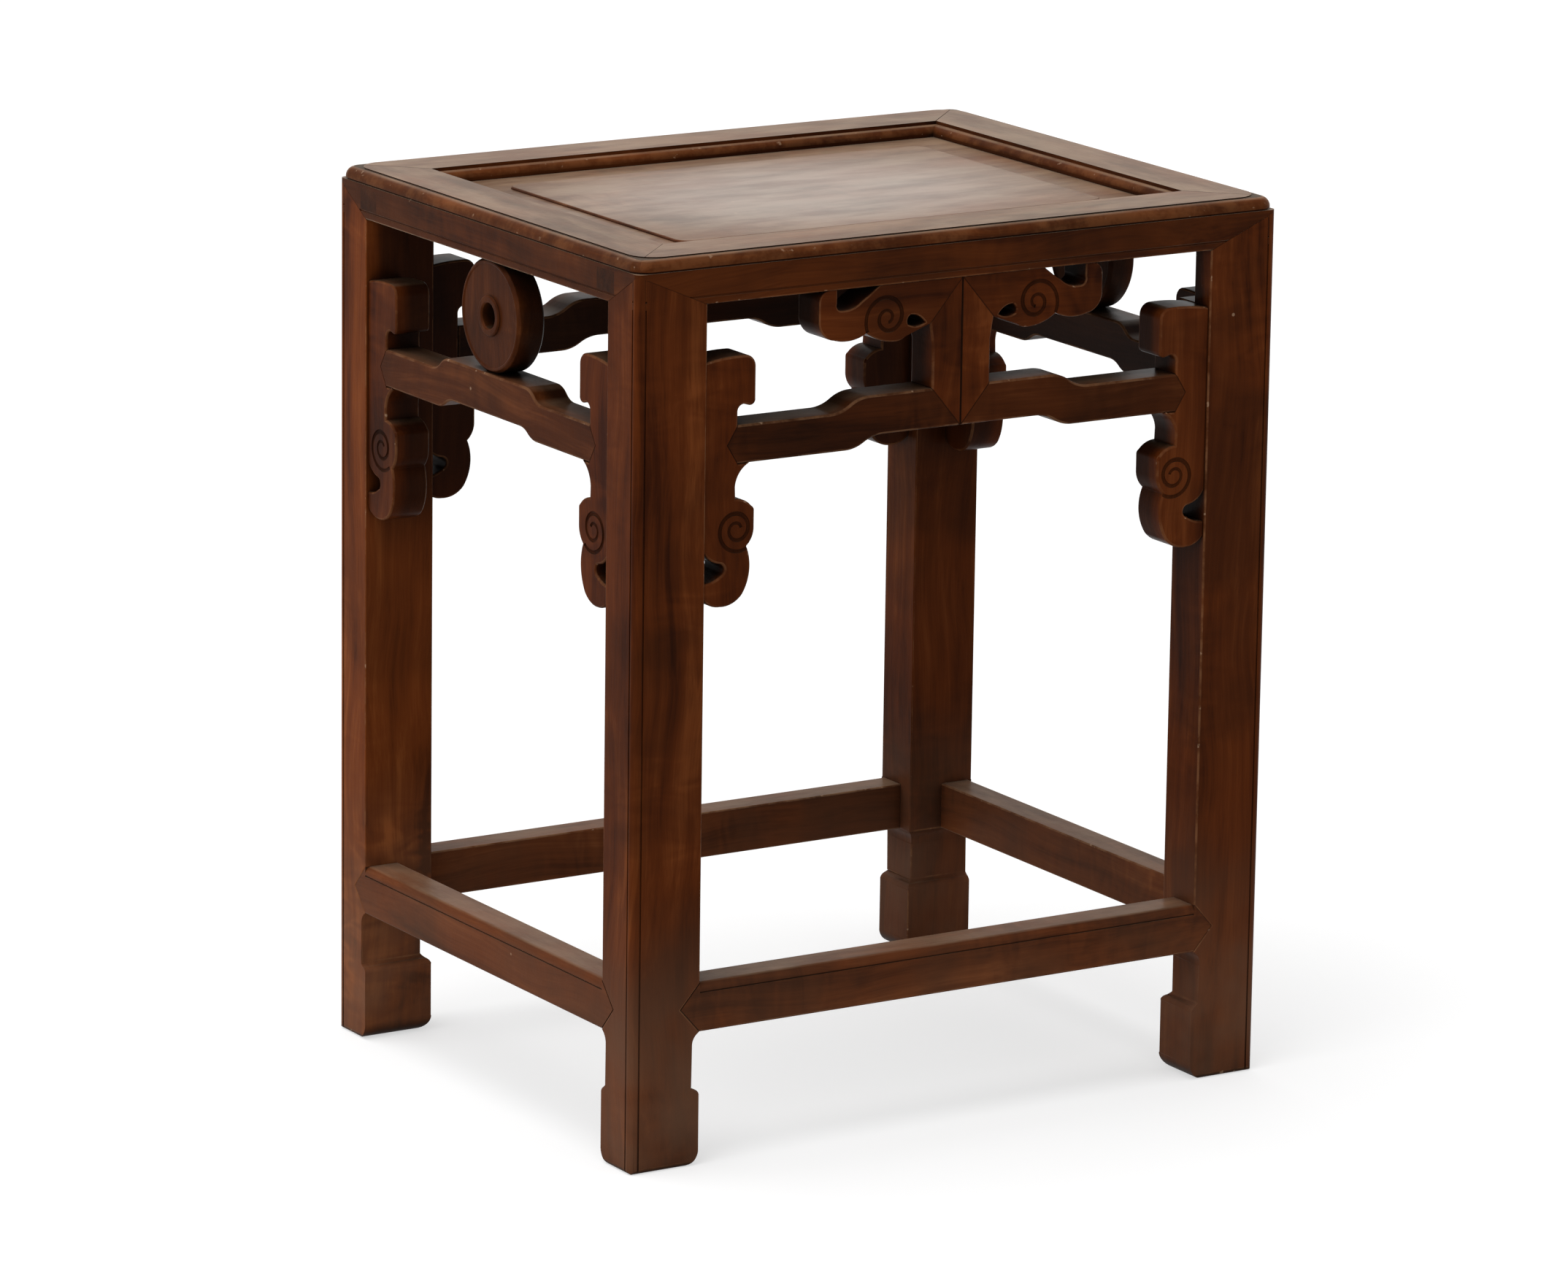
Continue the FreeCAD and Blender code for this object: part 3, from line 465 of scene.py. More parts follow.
    nick = nick_mask(sheet, given["Vector"], given["Edge"], given["Nicks"])
    colour = sheet.mix(nick, colour, BARE_WOOD)

    sheet.feed(result["Colour"], colour)
    sheet.feed(result["Rub Mask"], rub)
    sheet.feed(result["Dirt Mask"], dirt)
    sheet.feed(result["Wax Mask"], wax)
    sheet.feed(result["Height"], sheet.math("SUBTRACT", uneven, nick))
    return sheet.tree


# ------------------------------------------------------------------- finishes

TONE_GLOSS = 0.08           # how much smoother the lightest wood is than the darkest
DIRT_DULLNESS = 0.3         # roughness that full dirt and painted shade adds
RUB_DULLNESS = 0.06         # roughness that full rubbing adds
RELIEF = 0.25               # strength of both reliefs
GRAIN_DEPTH = 0.0003        # relief of the fibres, in metres
WEAR_DEPTH = 0.0008         # relief of the unevenness and nicks, in metres
END_GRAIN = (0.8, 0.97)     # part of the normal along the fibres, from side grain to end grain


class Grain(Enum):
    """Direction of the wood fibres in a part, as the turn that lays them along X."""

    ALONG_X = (0.0, 0.0, 0.0)
    ALONG_Y = (0.0, 0.0, -math.pi / 2)
    UPRIGHT = (0.0, math.pi / 2, 0.0)


@dataclass(frozen=True)
class WoodFinish:
    """Old polished hardwood.

    Attributes:
        name: Name of the finish.
        dark: Colour of the dark bands.
        middle: Main colour.
        light: Colour of the light bands.
        rubbed: Colour where the polish has worn off, also a painted glint on the arrises.
        gloss: Roughness of the polish.
        shine: Strength of the reflection, 0.5 for fresh lacquer.
        haze: Strength of the thin haze seen on faces at a slant.
        haze_spread: Roughness of the haze.
        haze_tint: Colour of the haze.
        film: Strength of the tan film on upward faces, partly a painted sheen.
        wax: Strength of the waxed sheen on upward faces.
        wax_middle: How much stronger the sheen is in the middle of the top.
        wax_gloss: Roughness of the wax.
        dust: Strength of the dust near the floor.
        band_scale: How many growth bands there are in a metre.
        figure: Strength of the wavy cross figure.
        contrast: Strength of the banding.
        rub: Strength of the wear and the painted glint on the arrises.
        dirt: Strength of the dirt and painted shade in the corners.
        shade: Strength of the painted shade where other parts are near.
        smoke: Strength of the dark clouding.
        nicks: Strength of the pale nicks.
    """

    name: str
    dark: Colour
    middle: Colour
    light: Colour
    rubbed: Colour
    gloss: float = 0.34
    shine: float = 0.022
    haze: float = 0.0
    haze_spread: float = 0.24
    haze_tint: Colour = (1.0, 0.78, 0.57)
    film: float = 0.2
    wax: float = 0.1
    wax_middle: float = 0.0
    wax_gloss: float = 0.3
    dust: float = 0.6
    band_scale: float = 26.0
    figure: float = 0.25
    contrast: float = 1.5
    rub: float = 0.35
    dirt: float = 0.85
    shade: float = 0.75
    smoke: float = 0.45
    nicks: float = 0.5

    def inputs(self, *names: str) -> dict[str, object]:
        """Return values of this finish by input name: band_scale goes into "Band Scale"."""
        return {name.replace("_", " ").title(): getattr(self, name) for name in names}

    def material(self, grain: Grain, shift: float = 0.0) -> bpy.types.Material:
        """Return the material for one grain direction, made once.

        Args:
            grain: Direction of the fibres.
            shift: Moves the pattern along all axes, in metres.

        Returns:
            The material.
        """
        name = f"{self.name}_{grain.name.lower()}_{round(shift * 100)}"
        if name in bpy.data.materials:
            return bpy.data.materials[name]
        material, sheet = new_material(name)
        place = sheet.add("TexCoord").outputs["Object"]
        turned = sheet.add("Mapping", {
            "Vector": place,
            "Location": (shift, shift, shift),
            "Rotation": grain.value,
        }).outputs[0]
        wood = self.wood(sheet, turned)
        worn = self.wear(sheet, place, turned, wood["Colour"], grain)
        shader = sheet.add("BsdfPrincipled", {
            "Base Color": worn["Colour"],
            "Roughness": self.roughness(sheet, wood, worn),
            "Specular IOR Level": self.shine,
            "Coat Weight": worn["Wax Mask"],
            "Coat Roughness": self.wax_gloss,
            "Sheen Weight": self.haze,
            "Sheen Roughness": self.haze_spread,
            "Sheen Tint": self.haze_tint,
            "Normal": self.relief(sheet, wood, worn),
        })
        sheet.add("OutputMaterial", {"Surface": shader.outputs[0]})
        return material

    def wood(self, sheet: Sheet, turned: Socket) -> Outputs:
        """Add the wood grain.

        Args:
            sheet: The material's sheet.
            turned: Place in the pattern, with the fibres along X.

        Returns:
            The outputs of the grain group.
        """
        return sheet.add("Group", {
            "Vector": turned,
            **self.inputs("dark", "middle", "light", "band_scale", "figure", "contrast"),
        }, node_tree=bpy.data.node_groups["wood_grain"]).outputs

    def wear(self, sheet: Sheet, place: Socket, turned: Socket, colour: Socket,
             grain: Grain) -> Outputs:
        """Add the marks of age.

        Args:
            sheet: The material's sheet.
            place: Place on the table.
            turned: Place in the pattern, with the fibres along X.
            colour: Colour of the fresh wood.
            grain: Direction of the fibres, which shows where the end grain is.

        Returns:
            The outputs of the wear group.
        """
        normal = sheet.add("NewGeometry").outputs["Normal"]
        turn = {"Vector": normal, "Rotation": grain.value}
        along = sheet.add("Mapping", turn, vector_type="NORMAL").outputs[0]
        across = sheet.math("ABSOLUTE", sheet.add("SeparateXYZ", {0: along}).outputs["X"])
        return sheet.add("Group", {
            "Place": place,
            "Vector": turned,
            "Colour": colour,
            "Edge": sheet.add("Attribute", attribute_name="edge").outputs["Fac"],
            "End Grain": sheet.band(across, *END_GRAIN),
            **self.inputs("rubbed", "rub", "dirt", "shade", "smoke", "nicks"),
            **self.inputs("film", "wax", "wax_middle", "dust"),
        }, node_tree=bpy.data.node_groups["handling_wear"]).outputs

    def roughness(self, sheet: Sheet, wood: Outputs, worn: Outputs) -> Socket:
        """Make light wood smoother, and places with dirt and painted shade, and rubbed places, duller.

        Args:
            sheet: The material's sheet.
            wood: Outputs of the grain group.
            worn: Outputs of the wear group.

        Returns:
            The roughness.
        """
        rough = sheet.math("MULTIPLY_ADD", wood["Tone"], -TONE_GLOSS, self.gloss + TONE_GLOSS / 2)
        for mask, dullness in (("Dirt Mask", DIRT_DULLNESS), ("Rub Mask", RUB_DULLNESS)):
            rough = sheet.math("ADD", rough, sheet.times(worn[mask], dullness))
        return rough

    def relief(self, sheet: Sheet, wood: Outputs, worn: Outputs) -> Socket:
        """Add the relief of the fine grain and of the coarser unevenness.

        Args:
            sheet: The material's sheet.
            wood: Outputs of the grain group.
            worn: Outputs of the wear group.

        Returns:
            The normal.
        """
        fine = sheet.add("Bump", {
            "Height": wood["Height"],
            "Strength": RELIEF,
            "Distance": GRAIN_DEPTH,
        })
        coarse = sheet.add("Bump", {
            "Height": worn["Height"],
            "Strength": RELIEF,
            "Distance": WEAR_DEPTH,
            "Normal": fine.outputs[0],
        })
        return coarse.outputs[0]


FRAME_WOOD = WoodFinish(
    name="frame_polish",
    dark=(0.034, 0.0075, 0.0020),
    middle=(0.086, 0.0205, 0.0042),
    light=(0.165, 0.046, 0.0120),
    rubbed=(0.27, 0.105, 0.038),
    haze=0.6,
    film=0.28,
    wax=0.1,
    figure=0.15,
    dirt=0.6,
    shade=0.5,
)
PANEL_WOOD = WoodFinish(
    name="panel_polish",
    dark=(0.050, 0.014, 0.005),
    middle=(0.115, 0.034, 0.012),
    light=(0.20, 0.075, 0.030),
    rubbed=(0.24, 0.13, 0.07),
    gloss=0.33,
    haze=0.65,
    film=0.28,
    wax=0.07,
    wax_middle=0.85,
    band_scale=16.0,
    figure=0.5,
    contrast=1.3,
    shade=0.2,
)
LEG_WOOD = WoodFinish(
    name="leg_polish",
    dark=(0.036, 0.0078, 0.0020),
    middle=(0.096, 0.0215, 0.0043),
    light=(0.185, 0.050, 0.0120),
    rubbed=(0.24, 0.11, 0.05),
    figure=0.15,
    rub=0.5,
    dirt=0.35,
)
PALE_LEG_WOOD = replace(
    LEG_WOOD,
    name="pale_leg_polish",
    dark=(0.054, 0.0122, 0.0031),
    middle=(0.150, 0.0350, 0.0070),
    light=(0.280, 0.080, 0.0190),
    figure=0.4,
    smoke=0.25,
)
STRETCHER_WOOD = WoodFinish(
    name="stretcher_polish",
    dark=(0.048, 0.0115, 0.0034),
    middle=(0.115, 0.0295, 0.0078),
    light=(0.205, 0.062, 0.0190),
    rubbed=(0.30, 0.165, 0.09),
    haze=0.5,
    film=0.2,
    wax=0.0,
    dust=0.3,
    rub=0.5,
    dirt=0.25,
)
FRETWORK_WOOD = WoodFinish(
    name="fretwork_polish",
    dark=(0.034, 0.0068, 0.0017),
    middle=(0.088, 0.0190, 0.0036),
    light=(0.160, 0.041, 0.0095),
    rubbed=(0.24, 0.11, 0.05),
    film=0.1,
    wax=0.06,
)
HUMP_WOOD = WoodFinish(
    name="hump_polish",
    dark=(0.024, 0.0060, 0.0018),
    middle=(0.062, 0.0155, 0.0038),
    light=(0.125, 0.036, 0.0100),
    rubbed=(0.24, 0.12, 0.06),
    film=0.1,
    wax=0.08,
    rub=0.45,
)
HIDDEN_WOOD = WoodFinish(
    name="bare_batten",
    dark=(0.020, 0.010, 0.006),
    middle=(0.050, 0.026, 0.016),
    light=(0.09, 0.05, 0.03),
    rubbed=(0.12, 0.08, 0.05),
    gloss=0.6,
    rub=0.2,
)


# --------------------------------------------------------------------- pieces

# Material slots that tell the kinds of face apart while a piece is worked.
BODY, ARRIS, GROOVE = range(3)

# Corners of a mesh that are nearer to each other than this are one, in
# millimetres: before a piece is worked, and before it is carved.
WELD = 0.002
CARVE_WELD = 0.01

FLAT_ANGLE = math.radians(0.6)      # faces that meet at less than this are one flat face
SHADE_ANGLE = math.radians(40)      # edges blunter than this are shaded smooth


def keep_modifiers(piece: bpy.types.Object) -> None:
    """Make the result of a piece's modifiers its own mesh.

    Args:
        piece: The piece, which has no modifiers afterwards.
    """
    graph = bpy.context.evaluated_depsgraph_get()
    made = bpy.data.meshes.new_from_object(piece.evaluated_get(graph))
    piece.modifiers.clear()
    piece.data = made


def weld(piece: bpy.types.Object) -> None:
    """Join the corners that the softening of the edges has left close together.

    Args:
        piece: The softened piece.
    """
    mesh = bmesh.new()
    mesh.from_mesh(piece.data)
    bmesh.ops.remove_doubles(mesh, verts=mesh.verts, dist=CARVE_WELD * MM)
    bmesh.ops.dissolve_degenerate(mesh, edges=mesh.edges, dist=CARVE_WELD * MM)
    mesh.to_mesh(piece.data)
    mesh.free()


def carve(piece: bpy.types.Object, cutters: list[bpy.types.Object]) -> None:
    """Carve solids out of a piece.

    Args:
        piece: The piece, a closed solid.
        cutters: The solids that are taken away; they are deleted.
    """
    for number, cutter in enumerate(cutters):
        cut = piece.modifiers.new(f"carve_{number}", "BOOLEAN")
        cut.operation = "DIFFERENCE"
        cut.object = cutter
        cut.solver = "EXACT"
    keep_modifiers(piece)
    for cutter in cutters:
        bpy.data.objects.remove(cutter)
    if not piece.data.polygons:
        raise RuntimeError(f"{piece.name}: the carving left nothing")


@dataclass
class Edge:
    """One sharp edge of a part, in millimetres.

    Attributes:
        middle: Middle of the edge.
        along: Direction of the edge.
        length: Length of the edge.
    """

    middle: Vector
    along: Vector
    length: float


# Gives the width of the softened arris for an edge, in millimetres.
Width = Callable[[Edge], float]


def no_mark(_: Vector) -> float:
    """Return 0 for any place: nothing is marked."""
    return 0.0


def new_object(name: str, mesh: bmesh.types.BMesh) -> bpy.types.Object:
    """Make an object of a mesh, put it in the scene and free the mesh.

    Args:
        name: Name of the object.
        mesh: Its mesh.

    Returns:
        The object.
    """
    data = bpy.data.meshes.new(name)
    mesh.to_mesh(data)
    mesh.free()
    made = bpy.data.objects.new(name, data)
    bpy.context.scene.collection.objects.link(made)
    return made


@dataclass
class Timber:
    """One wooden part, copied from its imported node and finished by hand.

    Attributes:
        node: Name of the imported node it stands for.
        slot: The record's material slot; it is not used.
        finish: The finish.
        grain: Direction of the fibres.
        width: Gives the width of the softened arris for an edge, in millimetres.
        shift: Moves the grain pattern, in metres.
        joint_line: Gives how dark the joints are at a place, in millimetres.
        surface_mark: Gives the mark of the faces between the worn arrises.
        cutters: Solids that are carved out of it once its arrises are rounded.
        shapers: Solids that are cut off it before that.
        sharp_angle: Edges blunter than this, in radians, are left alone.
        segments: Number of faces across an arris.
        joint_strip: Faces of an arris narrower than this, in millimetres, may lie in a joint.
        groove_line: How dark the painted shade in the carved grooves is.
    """

    node: str
    slot: str
    finish: WoodFinish
    grain: Grain
    width: Width
    shift: float = 0.0
    joint_line: Callable[[Vector], float] = no_mark
    surface_mark: Callable[[Vector], float] = no_mark
    cutters: list[bpy.types.Object] = field(default_factory=list)
    shapers: list[bpy.types.Object] = field(default_factory=list)
    sharp_angle: float = 0.44
    segments: int = 3
    joint_strip: float = 0.36
    groove_line: float = 0.6

    def copied(self) -> bpy.types.Object:
        """Copy the node and merge its triangles into whole faces.

        Returns:
            The copy, with a material slot for each kind of face.
        """
        mesh = bmesh.new()
        mesh.from_mesh(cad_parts[self.node].data)
        bmesh.ops.remove_doubles(mesh, verts=mesh.verts, dist=WELD * MM)
        bmesh.ops.dissolve_limit(
            mesh,
            angle_limit=FLAT_ANGLE,
            verts=mesh.verts,
            edges=mesh.edges,
            use_dissolve_boundaries=False,
        )
        piece = new_object(self.node + "_wood", mesh)
        for name in ("custom_normal", "sharp_edge", "sharp_face"):
            if name in piece.data.attributes:
                piece.data.attributes.remove(piece.data.attributes[name])
        for _ in (BODY, ARRIS, GROOVE):
            piece.data.materials.append(self.finish.material(self.grain, self.shift))
        return piece

    def weigh(self, piece: bpy.types.Object) -> float:
        """Mark how wide each sharp edge is softened.

        Args:
            piece: The piece with all its edges still sharp.

        Returns:
            The greatest width in metres.
        """
        mesh = bmesh.new()
        mesh.from_mesh(piece.data)
        layer = mesh.edges.layers.float.new("bevel_weight_edge")
        widths = {}
        for edge in mesh.edges:
            if len(edge.link_faces) != 2 or edge.calc_face_angle(0.0) < self.sharp_angle:
                continue
            a, b = (v.co / MM for v in edge.verts)
            widths[edge] = self.width(Edge((a + b) / 2, (b - a).normalized(), (b - a).length))
        widest = max(widths.values(), default=0.0) or 1.0
        for edge, width in widths.items():
            edge[layer] = width / widest
        mesh.to_mesh(piece.data)
        mesh.free()
        return widest * MM

    def build(self) -> bpy.types.Object:
        """Make the finished piece.

        Returns:
            The piece, riding on the table's body in place of its node.
        """
        piece = self.copied()
        if self.shapers:
            carve(piece, self.shapers)
        self.soften(piece, self.weigh(piece))
        if self.cutters:
            weld(piece)
            carve(piece, self.cutters)
        self.finish_mesh(piece)
        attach(piece, "root")
        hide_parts(self.node)
        return piece

    def soften(self, piece: bpy.types.Object, widest: float) -> None:
        """Round the sharp edges of a piece.

        Args:
            piece: The piece, with its edges weighed.
            widest: The greatest width of an arris, in metres.
        """
        soft = piece.modifiers.new("arris", "BEVEL")
        soft.limit_method = "WEIGHT"
        soft.width = widest
        soft.segments = self.segments
        soft.profile = 0.5
        soft.use_clamp_overlap = False
        soft.material = ARRIS
        keep_modifiers(piece)

    def mark(self, mesh: bpy.types.Mesh, face: bpy.types.MeshPolygon) -> float:
        """Return the mark of a face for the finish.

        Args:
            mesh: The mesh of the piece.
            face: One of its faces.

        Returns:
            1 on a worn arris with a painted glint, less than 0 in a joint, or in a groove or step with
            painted shade, and mostly 0 elsewhere.
        """
        # carved grooves take painted shade
        if face.material_index == GROOVE:
            return -self.groove_line
        place = face.center / MM
        if face.material_index == ARRIS:
            longest = max((mesh.vertices[a].co - mesh.vertices[b].co).length for a, b in face.edge_keys)
            if face.area > self.joint_strip * MM * longest:
                return 1.0
            line = self.joint_line(place)
            if line:
                return -line
        return self.surface_mark(place)

    def finish_mesh(self, piece: bpy.types.Object) -> None:
        """Keep the marks of all faces for the finish and smooth the shading.

        Args:
            piece: The softened and carved piece.
        """
        mesh = piece.data
        mark = mesh.attributes.new("edge", "FLOAT", "CORNER")
        values = [0.0] * len(mesh.loops)
        for face in mesh.polygons:
            for loop in face.loop_indices:
                values[loop] = self.mark(mesh, face)
            face.material_index = BODY
        mark.data.foreach_set("value", values)
        material = mesh.materials[0]
        mesh.materials.clear()
        mesh.materials.append(material)
        mesh.shade_smooth()
        mesh.set_sharp_from_angle(angle=SHADE_ANGLE)
        level = piece.modifiers.new("even", "WEIGHTED_NORMAL")
        level.keep_sharp = True
        keep_modifiers(piece)


def even_width(width: float, shortest: float = 0.0) -> Width:
    """Return a rule that softens all edges alike, but keeps those under the shortest sharp."""
    return lambda edge: width if edge.length >= shortest else 0.0


# ---------------------------------------------------------------- assemblies

class Side(Enum):
    """The four sides of the table, by the names that their nodes have."""

    FRONT = "front"
    BACK = "back"
    LEFT = "left"
    RIGHT = "right"

    @property
    def grain(self) -> Grain:
        """Return the direction of the fibres in a bar along this side."""
        return Grain.ALONG_X if self in (Side.FRONT, Side.BACK) else Grain.ALONG_Y

    def point(self, along: float, out: float, height: float) -> Point:
        """Place a point on this side.

        Args:
            along: From the middle to the right, for someone who faces the side from outside.
            out: In front of the table's outer face.
            height: Above the floor.

        Returns:
            The point in the table's frame, in millimetres.
        """
        x, y = {
            Side.FRONT: (along, -HALF_DEPTH - out),
            Side.BACK: (-along, HALF_DEPTH + out),
            Side.LEFT: (-HALF_LENGTH - out, -along),
            Side.RIGHT: (HALF_LENGTH + out, along),
        }[self]
        return (x, y, height)


def build_sides(name: str, shifts: tuple[float, ...], **common: object) -> list[bpy.types.Object]:
    """Build one timber on each side of the table.

    Args:
        name: Name of the nodes without the side.
        shifts: Shift of the grain on each side, in metres.
        common: What the four timbers have in common.

    Returns:
        The four pieces.
    """
    return [
        Timber(f"{name}_{side.value}", grain=side.grain, shift=shift, **common).build()
        for side, shift in zip(Side, shifts)
    ]


@dataclass
class TopFrame:
    """The mitred frame of the top, in millimetres.

    Attributes:
        fine: Arris of the joints and mouldings.
        crisp: Arris of the flat top, along the steps to its beads.
        lower: Arris of the lower outer edge.
        shortest: Edges shorter than this stay sharp.
        mitre_zone: Half the width of the strip along the mitre.
        mitre_line: How dark the mitres are.
        step_zone: Heights between which the step round the flat top lies.
        step_line: How dark the painted shade on that step is.
        bead_bottom: Height of the lower end of the outer bead.
        bead_depth: How far the outer bead reaches inwards.
        lip: Height of the inner bead's upper end.
        bead_rub: How much the two beads are rubbed, with a painted glint on them.
        shifts: Shift of the grain on each side, in metres.
    """

    fine: float = 0.28
    crisp: float = 0.1
    lower: float = 0.9
    shortest: float = 30.0
    mitre_zone: float = 1.0
    mitre_line: float = 0.7
    step_zone: tuple[float, float] = (499.3, 499.98)
    step_line: float = 1.0
    bead_bottom: float = 493.5
    bead_depth: float = 7.0
    lip: float = 498.1
    bead_rub: float = 0.7
    shifts: tuple[float, ...] = (0.0, 0.31, 0.0, 0.31)

    def joint_line(self, place: Vector) -> float:
        """Return how dark the joint is at a place: the mitres of the corners show as lines."""
        off_mitre = abs(HALF_LENGTH - abs(place.x) - HALF_DEPTH + abs(place.y))
        return self.mitre_line if off_mitre < self.mitre_zone else 0.0

    def surface_mark(self, place: Vector) -> float:
        """Mark the painted shade on the step round the flat top, and the two rubbed beads with their
        painted glint.

        Args:
            place: Middle of a face, in millimetres.

        Returns:
            The mark of the face.
        """
        low, high = self.step_zone
        # the step round the flat top takes painted shade
        if low < place.z < high:
            return -self.step_line
        outer = min(HALF_LENGTH - abs(place.x), HALF_DEPTH - abs(place.y)) < self.bead_depth
        on_bead = place.z <= low if outer else place.z < self.lip
        return self.bead_rub if on_bead and place.z > self.bead_bottom else 0.0

    def width(self, edge: Edge) -> float:
        """Choose the arris of one edge of a rail.

        Args:
            edge: The edge.

        Returns:
            Its width in millimetres.
        """
        if edge.length < self.shortest:
            return 0.0
        x, y, z = (abs(value) for value in edge.middle)
        outer = abs(x - HALF_LENGTH) < CLOSE or abs(y - HALF_DEPTH) < CLOSE
        level = abs(edge.along.z) < LEVEL
        if outer and level and abs(z - RAIL_UNDERSIDE) < CLOSE:
            return self.lower
        along_rail = max(abs(edge.along.x), abs(edge.along.y)) > STRAIGHT
        return self.crisp if along_rail and z > self.step_zone[1] else self.fine

    def build(self) -> list[bpy.types.Object]:
        """Build the four rails.

        Returns:
            The rails.
        """
        return build_sides(
            "top_rail",
            self.shifts,
            slot="frame_wood",
            finish=FRAME_WOOD,
            width=self.width,
            joint_line=self.joint_line,
            surface_mark=self.surface_mark,
        )


@dataclass
class FloatingPanel:
    """The panel with its raised field and the battens under it, in millimetres.

    Attributes:
        arris: Arris of the panel.
        batten_arris: Arris of the battens.
        shortest: Edges of the battens shorter than this stay sharp.
    """

    arris: float = 0.2
    batten_arris: float = 0.8
    shortest: float = 15.0

    def build(self) -> list[bpy.types.Object]:
        """Build the panel and its two battens.

        Returns:
            The three pieces.
        """
        board = Timber("top_panel", "panel_wood", PANEL_WOOD, Grain.ALONG_X, even_width(self.arris))
        made = [board.build()]
        for side in ("left", "right"):
            bar = Timber(
                f"panel_batten_{side}",
                "hidden_wood",
                HIDDEN_WOOD,
                Grain.ALONG_Y,
                even_width(self.batten_arris, self.shortest),
            )
            made.append(bar.build())
        return made


@dataclass
class Legs:
    """The four square legs with block feet, in millimetres.

    Attributes:
        joint: Arris of the mitred top.
        groove: Arris of the fine corner grooves.
        inner: Arris of the inner edges.
        foot: Arris of the foot's shoulder and sole.
        shortest: Edges shorter than this stay sharp.
        groove_zone: Edges this near to the leg's outer corner belong to its groove.
        foot_zone: Edges below this height belong to the foot.
        mitre_depth: How far below the rails the joint of the mitred top reaches.
        mitre_line: How dark that joint is.
        sole_round: Radius of the wear on the outer edges of the sole.
        sole_steps: Number of faces across that wear.
        sole_reach: How far it reaches from the outer corner, more than the foot is wide.
        clear: How far its arc starts outside both faces, so that no faces coincide.
        spare: How far the cutter stands out of the wood.
        shift: Shift of the grain from leg to leg, in metres.
    """

    joint: float = 0.3
    groove: float = 0.25
    inner: float = 0.9
    foot: float = 0.7
    shortest: float = 15.0
    groove_zone: float = 7.0
    foot_zone: float = 50.0
    mitre_depth: float = 0.5
    mitre_line: float = 0.7
    sole_round: float = 3.0
    sole_steps: int = 4
    sole_reach: float = 60.0
    clear: float = 0.02
    spare: float = 5.0
    shift: float = 0.13

    def joint_line(self, place: Vector) -> float:
        """Return how dark the joint is at a place: the leg's mitred top shows as a line."""
        return self.mitre_line if place.z > RAIL_UNDERSIDE - self.mitre_depth else 0.0

    def width(self, edge: Edge) -> float:
        """Choose the arris of one edge of a leg.

        Args:
            edge: The edge.

        Returns:
            Its width in millimetres.
        """
        if edge.length < self.shortest:
            return 0.0
        if self.joint_line(edge.middle):
            return self.joint
        depth = max(HALF_LENGTH - abs(edge.middle.x), HALF_DEPTH - abs(edge.middle.y))
        if depth < self.groove_zone:
            return self.groove
        return self.foot if edge.middle.z < self.foot_zone else self.inner

    def sole_profile(self) -> list[tuple[float, float]]:
        """Draw the section that is worn off an outer edge of the sole.

        Returns:
            Its corners in (depth, height).
        """
        centre = self.sole_round - self.clear
        section = [(-self.spare, -self.spare), (centre, -self.spare)]
        for step in range(self.sole_steps + 1):
            turn = math.pi / 2 * step / self.sole_steps
            depth = centre - self.sole_round * math.sin(turn)
            height = centre - self.sole_round * math.cos(turn)
            section.append((depth, height))
        section.append((-self.spare, centre))
        return section

    def sole_tool(self, name: str, corner: float, rule: Rule) -> bpy.types.Object:
        """Make the cutter that rounds one outer edge of a foot's sole.

        Args:
            name: Name of the cutter.
            corner: Place of the foot's outer corner along the edge.
            rule: Turns (along the edge, depth, height) into a point.

        Returns:
            The cutter.
        """
        mesh = bmesh.new()
        caps = []
        for along in (corner - self.sole_reach, corner + self.spare):
            points = [Vector(rule(along, depth, height)) * MM for depth, height in self.sole_profile()]
            caps.append(mesh.faces.new([mesh.verts.new(point) for point in points]))
        bmesh.ops.bridge_loops(mesh, edges=[edge for cap in caps for edge in cap.edges])
        bmesh.ops.recalc_face_normals(mesh, faces=mesh.faces)
        for face in mesh.faces:
            face.material_index = ARRIS
        return new_object(name, mesh)

    def sole_tools(self, place: str) -> list[bpy.types.Object]:
        """Make the cutters that round the outer edges of a foot's sole.

        Args:
            place: The leg's name.

        Returns:
            The two cutters.
        """
        x = 1 if "right" in place else -1
        y = 1 if "back" in place else -1
        return [
            self.sole_tool(
                f"long_edge_{place}",
                HALF_LENGTH,
                lambda along, depth, height: (x * along, y * (HALF_DEPTH - depth), height),
            ),
            self.sole_tool(
                f"short_edge_{place}",
                HALF_DEPTH,
                lambda along, depth, height: (x * (HALF_LENGTH - depth), y * along, height),
            ),
        ]

    def build(self) -> list[bpy.types.Object]:
        """Build the four legs.

        Returns:
            The legs.
        """
        made = []
        for number, place in enumerate(("front_left", "front_right", "back_left", "back_right")):
            leg = Timber(
                f"leg_{place}",
                "leg_wood",
                PALE_LEG_WOOD if place == "back_left" else LEG_WOOD,
                Grain.UPRIGHT,
                self.width,
                self.shift * number,
                self.joint_line,
                shapers=self.sole_tools(place),
            )
            made.append(leg.build())
        return made


